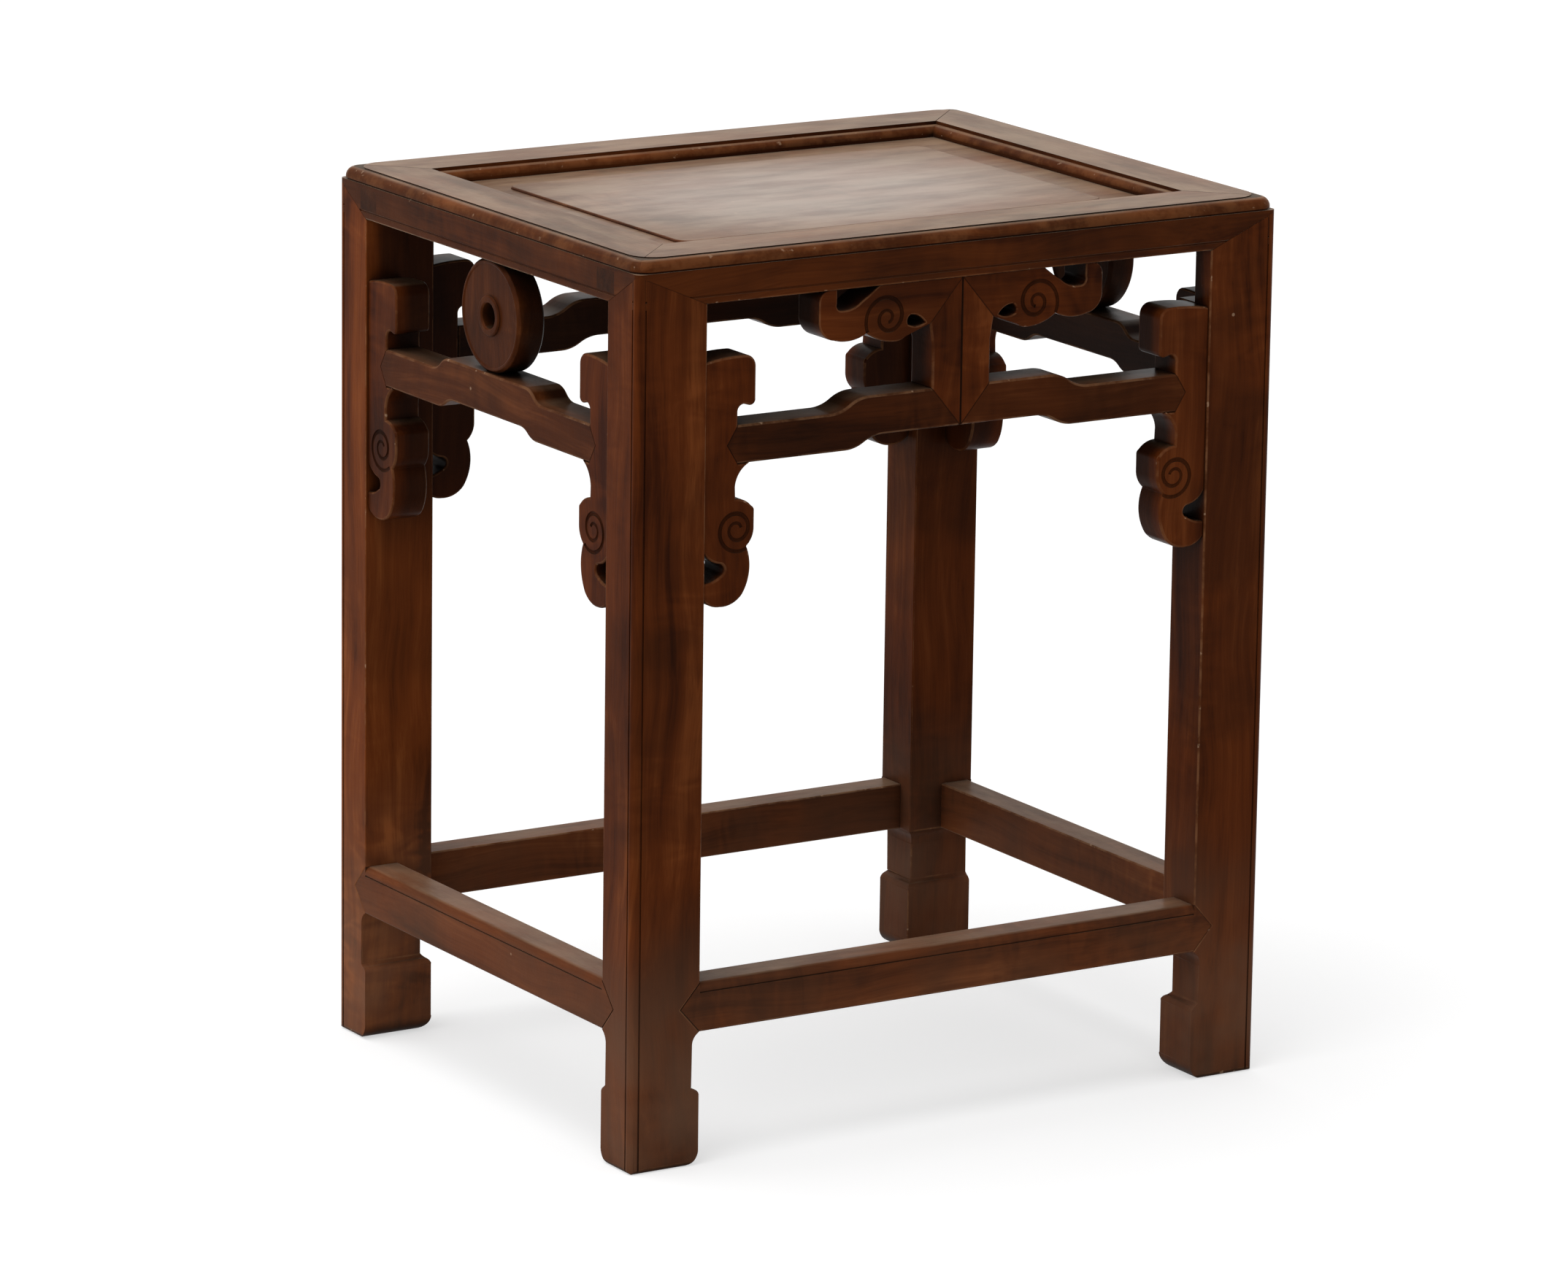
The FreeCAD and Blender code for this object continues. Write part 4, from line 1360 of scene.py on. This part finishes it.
@dataclass
class LowStretchers:
    """The square of stretchers near the floor, in millimetres.

    Attributes:
        joint: Arris of the pointed shoulders.
        step: Arris of the step along the outer top edge.
        arris: Arris of the other long edges.
        shortest: Edges shorter than this stay sharp.
        longest_joint: Edges of the shoulders are shorter than this.
        step_zone: Heights between which the step lies.
        shoulder: Length of the pointed shoulders.
        shoulder_line: How dark the joints of the shoulders are.
        shifts: Shift of the grain on each side, in metres.
    """

    joint: float = 0.25
    step: float = 0.2
    arris: float = 0.9
    shortest: float = 15.0
    longest_joint: float = 100.0
    step_zone: tuple[float, float] = (95.0, 98.5)
    shoulder: float = 25.0
    shoulder_line: float = 0.75
    shifts: tuple[float, ...] = (0.0, 0.4, 0.2, 0.6)

    def joint_line(self, place: Vector) -> float:
        """Mark the pointed shoulders near the legs.

        Args:
            place: Middle of a face, in millimetres.

        Returns:
            How dark the joint is, 0 where there is none.
        """
        near_x = abs(place.x) > LEG_LONG - self.shoulder
        near_y = abs(place.y) > LEG_SHORT - self.shoulder
        return self.shoulder_line if near_x and near_y else 0.0

    def width(self, edge: Edge) -> float:
        """Choose the arris of one edge of a stretcher.

        Args:
            edge: The edge.

        Returns:
            Its width in millimetres.
        """
        if edge.length < self.shortest:
            return 0.0
        if edge.length < self.longest_joint:
            return self.joint
        low, high = self.step_zone
        return self.step if low < edge.middle.z < high else self.arris

    def build(self) -> list[bpy.types.Object]:
        """Build the four low stretchers.

        Returns:
            The stretchers.
        """
        return build_sides(
            "base_stretcher",
            self.shifts,
            slot="stretcher_wood",
            finish=STRETCHER_WOOD,
            width=self.width,
            joint_line=self.joint_line,
        )


@dataclass(frozen=True)
class Volute:
    """A carved spiral groove on the face of a bracket, in millimetres.

    Attributes:
        centre: Middle of the spiral in the side's own (along, height).
        start: Radius at the outer end.
        angle: Angle of the outer end in degrees.
        end: Radius at the inner end.
        turns: Number of turns.
        ease: How fast the spiral closes in on its middle.
        gouge: Radius of the gouge.
        thinnest: Share of that radius that is left at the inner end.
        lift: How far the gouge's middle stands in front of the face.
        steps: Number of straight pieces in the line.
        weld: Corners of the cutter nearer to each other than this are one.
    """

    centre: tuple[float, float]
    start: float
    angle: float
    end: float = 2.6
    turns: float = 1.8
    ease: float = 1.6
    gouge: float = 1.35
    thinnest: float = 0.75
    lift: float = 0.25
    steps: int = 72
    weld: float = 0.001

    def spot(self, share: float) -> tuple[float, float]:
        """Find a place on the groove's line.

        Args:
            share: Share of the line, 0 at the outer end.

        Returns:
            The place in (along, height).
        """
        radius = self.end + (self.start - self.end) * (1 - share) ** self.ease
        turn = math.radians(self.angle) - share * self.turns * 2 * math.pi
        return (self.centre[0] + radius * math.cos(turn), self.centre[1] + radius * math.sin(turn))

    def fullness(self, share: float) -> float:
        """Return the share of the gouge's radius at a share of the line: it swells, then thins."""
        swell = math.sin(math.pi * min(1.0, 1.2 * share + 0.1))
        return self.thinnest + (1.0 - self.thinnest) * swell

    def cutter(self, name: str, rule: Rule) -> bpy.types.Object:
        """Sweep the gouge along the line.

        Args:
            name: Name of the cutter.
            rule: Turns (along, in front of the face, height) into a point.

        Returns:
            The cutter, a closed mesh.
        """
        curve = bpy.data.curves.new(name, "CURVE")
        curve.dimensions = "3D"
        curve.bevel_depth = self.gouge * MM
        curve.bevel_resolution = 2
        curve.use_fill_caps = True
        spline = curve.splines.new("POLY")
        spline.points.add(self.steps)
        for step, point in enumerate(spline.points):
            along, height = self.spot(step / self.steps)
            point.co = (*(Vector(rule(along, self.lift, height)) * MM), 1.0)
            point.radius = self.fullness(step / self.steps)
        shape = bpy.data.objects.new(name, curve)
        bpy.context.scene.collection.objects.link(shape)
        graph = bpy.context.evaluated_depsgraph_get()
        swept = bpy.data.meshes.new_from_object(shape.evaluated_get(graph))
        bpy.data.objects.remove(shape)
        bpy.data.curves.remove(curve)
        mesh = bmesh.new()
        mesh.from_mesh(swept)
        bpy.data.meshes.remove(swept)
        bmesh.ops.remove_doubles(mesh, verts=mesh.verts, dist=self.weld * MM)
        bmesh.ops.recalc_face_normals(mesh, faces=mesh.faces)
        for face in mesh.faces:
            face.material_index = GROOVE
        return new_object(name, mesh)


# The spirals of a side's left brackets, as seen from outside.
LONG_SCROLL = Volute(
    (-LEG_LONG + 20.2, HUMP_UNDERSIDE - 35.6), start=12.6, angle=-56.0, end=3.0, ease=1.3)
SHORT_SCROLL = Volute(
    (-LEG_SHORT + 15.5, HUMP_UNDERSIDE - SHORT_DROP - 35.6), start=13.2, angle=-46.0, end=3.0, ease=1.3)
CLOUD = Volute((-47.6, RAIL_UNDERSIDE - 18.2), start=14.4, angle=209.0)


@dataclass
class Openwork:
    """The brackets, humped stretchers, posts and roundels under the top, in millimetres.

    Attributes:
        setback: Face of the openwork behind the outer face of the legs.
        thickness: Thickness of the openwork.
        joint: Arris of the joints.
        seam: Arris of the seam in the middle of the centre post.
        arris: Arris of the outlines.
        cloud_arris: Arris of the cloud brackets, whose hollows are tighter.
        cloud_zone: Those lie between these two distances from the middle and above this height.
        post_half: Half the width of the centre post.
        shoulder: How far the shoulders of the humped stretchers reach from the legs.
        shoulder_zone: Heights between which the shoulders lie.
        slant: Upward parts of the direction between which an edge is slanting.
        shortest_mitre: Slanting edges longer than this are mitres.
        line: How dark the joints are.
        seam_line: How dark the seam in the middle of the centre post is.
        strip: Width of the strips along the seam, the legs and the rails.
        right_shift: Shift of the grain on the right half of a long side, in metres.
        short_shift: Shift of the grain in the short sides' scroll brackets, in metres.
    """

    setback: float = 1.5
    thickness: float = 21.5
    joint: float = 0.35
    seam: float = 0.65
    arris: float = 1.2
    cloud_arris: float = 0.8
    cloud_zone: tuple[float, float, float] = (20.0, 100.0, 440.0)
    post_half: float = 20.6
    shoulder: float = 21.0
    shoulder_zone: tuple[float, float] = (380.0, 412.0)
    slant: tuple[float, float] = (0.3, 0.95)
    shortest_mitre: float = 11.0
    line: float = 0.6
    seam_line: float = 1.0
    strip: float = 1.0
    right_shift: float = 0.27
    short_shift: float = 0.17

    def joint_line(self, place: Vector) -> float:
        """Mark the joints of the openwork.

        Args:
            place: Middle of a face, in millimetres.

        Returns:
            How dark the joint is, 0 where there is none.
        """
        on_long = abs(place.x) < LEG_LONG + CLOSE
        along, end = (abs(place.x), LEG_LONG) if on_long else (abs(place.y), LEG_SHORT)
        if on_long and along < self.strip:
            return self.seam_line
        low, high = self.shoulder_zone
        at_shoulder = along > end - self.shoulder and low < place.z < high
        at_post = on_long and along < self.post_half
        at_end = along > end - self.strip or place.z > RAIL_UNDERSIDE - self.strip
        return self.line if at_shoulder or at_post or at_end else 0.0

    def in_joint(self, edge: Edge) -> bool:
        """Tell whether an edge on the face of the openwork lies in a joint.

        Args:
            edge: The edge.

        Returns:
            Whether it does.
        """
        x, y, z = (abs(value) for value in edge.middle)
        rise = abs(edge.along.z)
        at_leg = abs(x - LEG_LONG) < CLOSE or abs(y - LEG_SHORT) < CLOSE
        at_rail = abs(z - RAIL_UNDERSIDE) < CLOSE
        flattest, steepest = self.slant
        at_seam = x < CLOSE and rise > STRAIGHT
        slanting = flattest < rise < steepest and edge.length > self.shortest_mitre
        near_leg = x > LEG_LONG - self.shoulder or y > LEG_SHORT - self.shoulder
        return at_leg or at_rail or at_seam or (slanting and (near_leg or x < self.post_half))

    def on_face(self, depth: float) -> bool:
        """Return whether a depth below the outer faces is that of the front or back face."""
        behind = depth - self.setback
        return abs(behind) < CLOSE or abs(behind - self.thickness) < CLOSE

    def width(self, edge: Edge) -> float:
        """Choose the arris of one edge of the openwork.

        Args:
            edge: The edge.

        Returns:
            Its width in millimetres.
        """
        x = abs(edge.middle.x)
        long_face = x < LEG_LONG + CLOSE and self.on_face(HALF_DEPTH - abs(edge.middle.y))
        if x < CLOSE and long_face:
            return self.seam
        if self.in_joint(edge) or not (long_face or self.on_face(HALF_LENGTH - x)):
            return self.joint
        nearest, farthest, lowest = self.cloud_zone
        cloud = long_face and nearest < x < farthest and edge.middle.z > lowest
        return self.cloud_arris if cloud else self.arris

    def rule(self, side: Side, mirrored: bool) -> Rule:
        """Return the rule that puts the measures of a left bracket in the table's frame.

        Args:
            side: Side that the bracket is on.
            mirrored: Whether it is the right one, seen from outside.

        Returns:
            The rule, which turns (along, in front of the face, height) into a point.
        """
        hand = -1.0 if mirrored else 1.0
        return lambda along, out, height: side.point(hand * along, out - self.setback, height)

    def piece(self, node: str, grain: Grain, shift: float = 0.0,
              cutter: Optional[bpy.types.Object] = None) -> bpy.types.Object:
        """Build one part of the openwork.

        Args:
            node: Name of its node.
            grain: Direction of its fibres.
            shift: Shift of its grain, in metres.
            cutter: The gouge that carves its spiral.

        Returns:
            The finished piece.
        """
        dark = "hump" in node or "roundel" in node
        finish = HUMP_WOOD if dark else FRETWORK_WOOD
        cutters = [cutter] if cutter else []
        part = Timber(
            node, "fretwork_wood", finish, grain, self.width, shift, self.joint_line, cutters=cutters)
        return part.build()

    def long_half(self, side: Side, hand: str) -> list[bpy.types.Object]:
        """Build one half of a long side.

        Args:
            side: The side.
            hand: "left" or "right", as seen from the front.

        Returns:
            The four pieces.
        """
        rule = self.rule(side, (hand == "left") != (side is Side.FRONT))
        shift = 0.0 if hand == "left" else self.right_shift
        name = side.value
        curl = LONG_SCROLL.cutter(f"gouge_{name}_{hand}", rule)
        cloud = CLOUD.cutter(f"gouge_cloud_{name}_{hand}", rule)
        return [
            self.piece(f"{name}_scroll_bracket_{hand}", Grain.UPRIGHT, shift, curl),
            self.piece(f"{name}_hump_stretcher_{hand}", Grain.ALONG_X, shift),
            self.piece(f"{name}_centre_post_{hand}", Grain.UPRIGHT, shift),
            self.piece(f"{name}_cloud_bracket_{hand}", Grain.ALONG_X, shift, cloud),
        ]

    def short_side(self, side: Side) -> list[bpy.types.Object]:
        """Build the openwork of one short side.

        Args:
            side: The side.

        Returns:
            The four pieces.
        """
        name = side.value
        made = [
            self.piece(f"{name}_hump_stretcher", Grain.ALONG_Y),
            self.piece(f"{name}_roundel", Grain.UPRIGHT),
        ]
        for hand in ("front", "back"):
            rule = self.rule(side, (hand == "back") != (side is Side.LEFT))
            curl = SHORT_SCROLL.cutter(f"gouge_{name}_{hand}", rule)
            bracket = f"{name}_scroll_bracket_{hand}"
            made.append(self.piece(bracket, Grain.UPRIGHT, self.short_shift, curl))
        return made

    def build(self) -> list[bpy.types.Object]:
        """Build all the openwork.

        Returns:
            The pieces.
        """
        made = []
        for side in (Side.FRONT, Side.BACK):
            for hand in ("left", "right"):
                made += self.long_half(side, hand)
        for side in (Side.LEFT, Side.RIGHT):
            made += self.short_side(side)
        return made


# --------------------------------------------------------------------- studio

def seen_by(sheet: Sheet, *kinds: str) -> Socket:
    """Tell some kinds of ray from the others.

    Args:
        sheet: The sheet that is drawn on.
        kinds: Kinds of ray, such as "Camera" and "Glossy".

    Returns:
        1 for these kinds and 0 for the others.
    """
    path = sheet.add("LightPath").outputs
    seen = path[f"Is {kinds[0]} Ray"]
    for kind in kinds[1:]:
        seen = sheet.math("ADD", seen, path[f"Is {kind} Ray"], clamp=True)
    return seen


@dataclass
class Studio:
    """White floor, soft light and the camera.

    Attributes:
        yaw: Direction of the camera in degrees, 0 looks along +Y.
        pitch: Height of the camera in degrees.
        roll: Turn of the picture in degrees.
        distance: Camera to the aim point in metres.
        aim: Point that the camera looks at.
        slide: Shift of the camera to the right and up in metres.
        lens: Focal length in millimetres.
        sensor: Width of the sensor in millimetres.
        world_level: Strength of the light that comes from all around.
        sun_level: Strength of the broad lamp above.
        sun_from: Direction that its light comes from.
        side_level: Strength of the lamp at the side.
        side_from: Direction that its light comes from.
        spread: Angle that both lamps fill, in radians.
        floor_size: Half the side of the floor in metres.
        floor_white: Brightness of the floor's colour.
        floor_lift: Light of the floor's own, so that all but the shadow comes out white.
    """

    yaw: float = -31.9438
    pitch: float = 13.5976
    roll: float = 0.7991
    distance: float = 4.4853
    aim: Point = (0.0, 0.0, 0.25)
    slide: tuple[float, float] = (-0.00835, -0.00775)
    lens: float = 184.03
    sensor: float = 36.0
    world_level: float = 0.5
    sun_level: float = 1.7
    sun_from: Point = (-0.35, 0.12, 1.3)
    side_level: float = 0.95
    side_from: Point = (-1.0, -0.28, 0.35)
    spread: float = 1.0
    floor_size: float = 20.0
    floor_white: float = 0.5
    floor_lift: float = 0.56

    def camera(self) -> None:
        """Place the camera."""
        yaw, pitch, roll = (math.radians(angle) for angle in (self.yaw, self.pitch, self.roll))
        level = math.cos(pitch)
        back = Vector((math.sin(yaw) * level, -math.cos(yaw) * level, math.sin(pitch)))
        right = Vector((math.cos(yaw), math.sin(yaw), 0.0))
        up = back.cross(right)
        turned_right = right * math.cos(roll) + up * math.sin(roll)
        turned_up = up * math.cos(roll) - right * math.sin(roll)
        where = Vector(self.aim) + back * self.distance
        where += turned_right * self.slide[0] + turned_up * self.slide[1]
        data = bpy.data.cameras.new("camera")
        data.lens = self.lens
        data.sensor_width = self.sensor
        data.sensor_fit = "HORIZONTAL"
        data.clip_end = 3 * self.floor_size
        camera = bpy.data.objects.new("camera", data)
        axes = Matrix((turned_right, turned_up, back)).transposed().to_4x4()
        camera.matrix_world = Matrix.Translation(where) @ axes
        bpy.context.scene.collection.objects.link(camera)
        bpy.context.scene.camera = camera

    def lamps(self) -> None:
        """Light the room: an even white world, a broad lamp above and a weaker one at the side."""
        world = bpy.data.worlds.new("room")
        bpy.context.scene.world = world
        world.use_nodes = True
        sheet = Sheet(world.node_tree)
        seen = seen_by(sheet, "Camera", "Glossy", "Transmission")
        level = sheet.math("MULTIPLY_ADD", seen, 1.0 - self.world_level, self.world_level)
        glow = sheet.add("Background", {"Color": (1.0, 1.0, 1.0), "Strength": level})
        sheet.add("OutputWorld", {"Surface": glow.outputs[0]})
        self.lamp("broad_lamp", self.sun_level, self.sun_from)
        self.lamp("side_lamp", self.side_level, self.side_from)

    def lamp(self, name: str, level: float, source: Point) -> None:
        """Hang one broad soft lamp.

        Args:
            name: Name of the lamp.
            level: Its strength.
            source: Direction that its light comes from.
        """
        lamp = bpy.data.lights.new(name, "SUN")
        lamp.energy = level
        lamp.angle = self.spread
        sun = bpy.data.objects.new(name, lamp)
        sun.rotation_euler = Vector(source).to_track_quat("Z", "Y").to_euler()
        bpy.context.scene.collection.objects.link(sun)

    def floor(self) -> None:
        """Lay the white floor that keeps the table's shadow."""
        mesh = bmesh.new()
        bmesh.ops.create_grid(mesh, x_segments=1, y_segments=1, size=self.floor_size)
        floor = new_object("floor", mesh)
        material, sheet = new_material("white_floor")
        lift = sheet.times(seen_by(sheet, "Camera", "Glossy"), self.floor_lift)
        matt = sheet.add("BsdfDiffuse", {"Color": (self.floor_white,) * 3})
        glow = sheet.add("Emission", {"Color": (1.0, 1.0, 1.0), "Strength": lift})
        both = sheet.add("AddShader", {0: matt.outputs[0], 1: glow.outputs[0]})
        sheet.add("OutputMaterial", {"Surface": both.outputs[0]})
        floor.data.materials.append(material)

    def build(self) -> None:
        """Set up the whole studio."""
        self.camera()
        self.lamps()
        self.floor()
        bpy.context.scene.view_settings.view_transform = "Standard"


def main() -> None:
    """Build every sub-assembly in order and report its pieces."""
    logging.basicConfig(level=logging.INFO, format="%(name)s: %(message)s")
    grain_group()
    wear_group()
    for assembly in (TopFrame(), FloatingPanel(), Legs(), LowStretchers(), Openwork()):
        for piece in assembly.build():
            log.info("%s, %d faces", piece.name, len(piece.data.polygons))
    Studio().build()


if __name__ == "__main__":
    main()
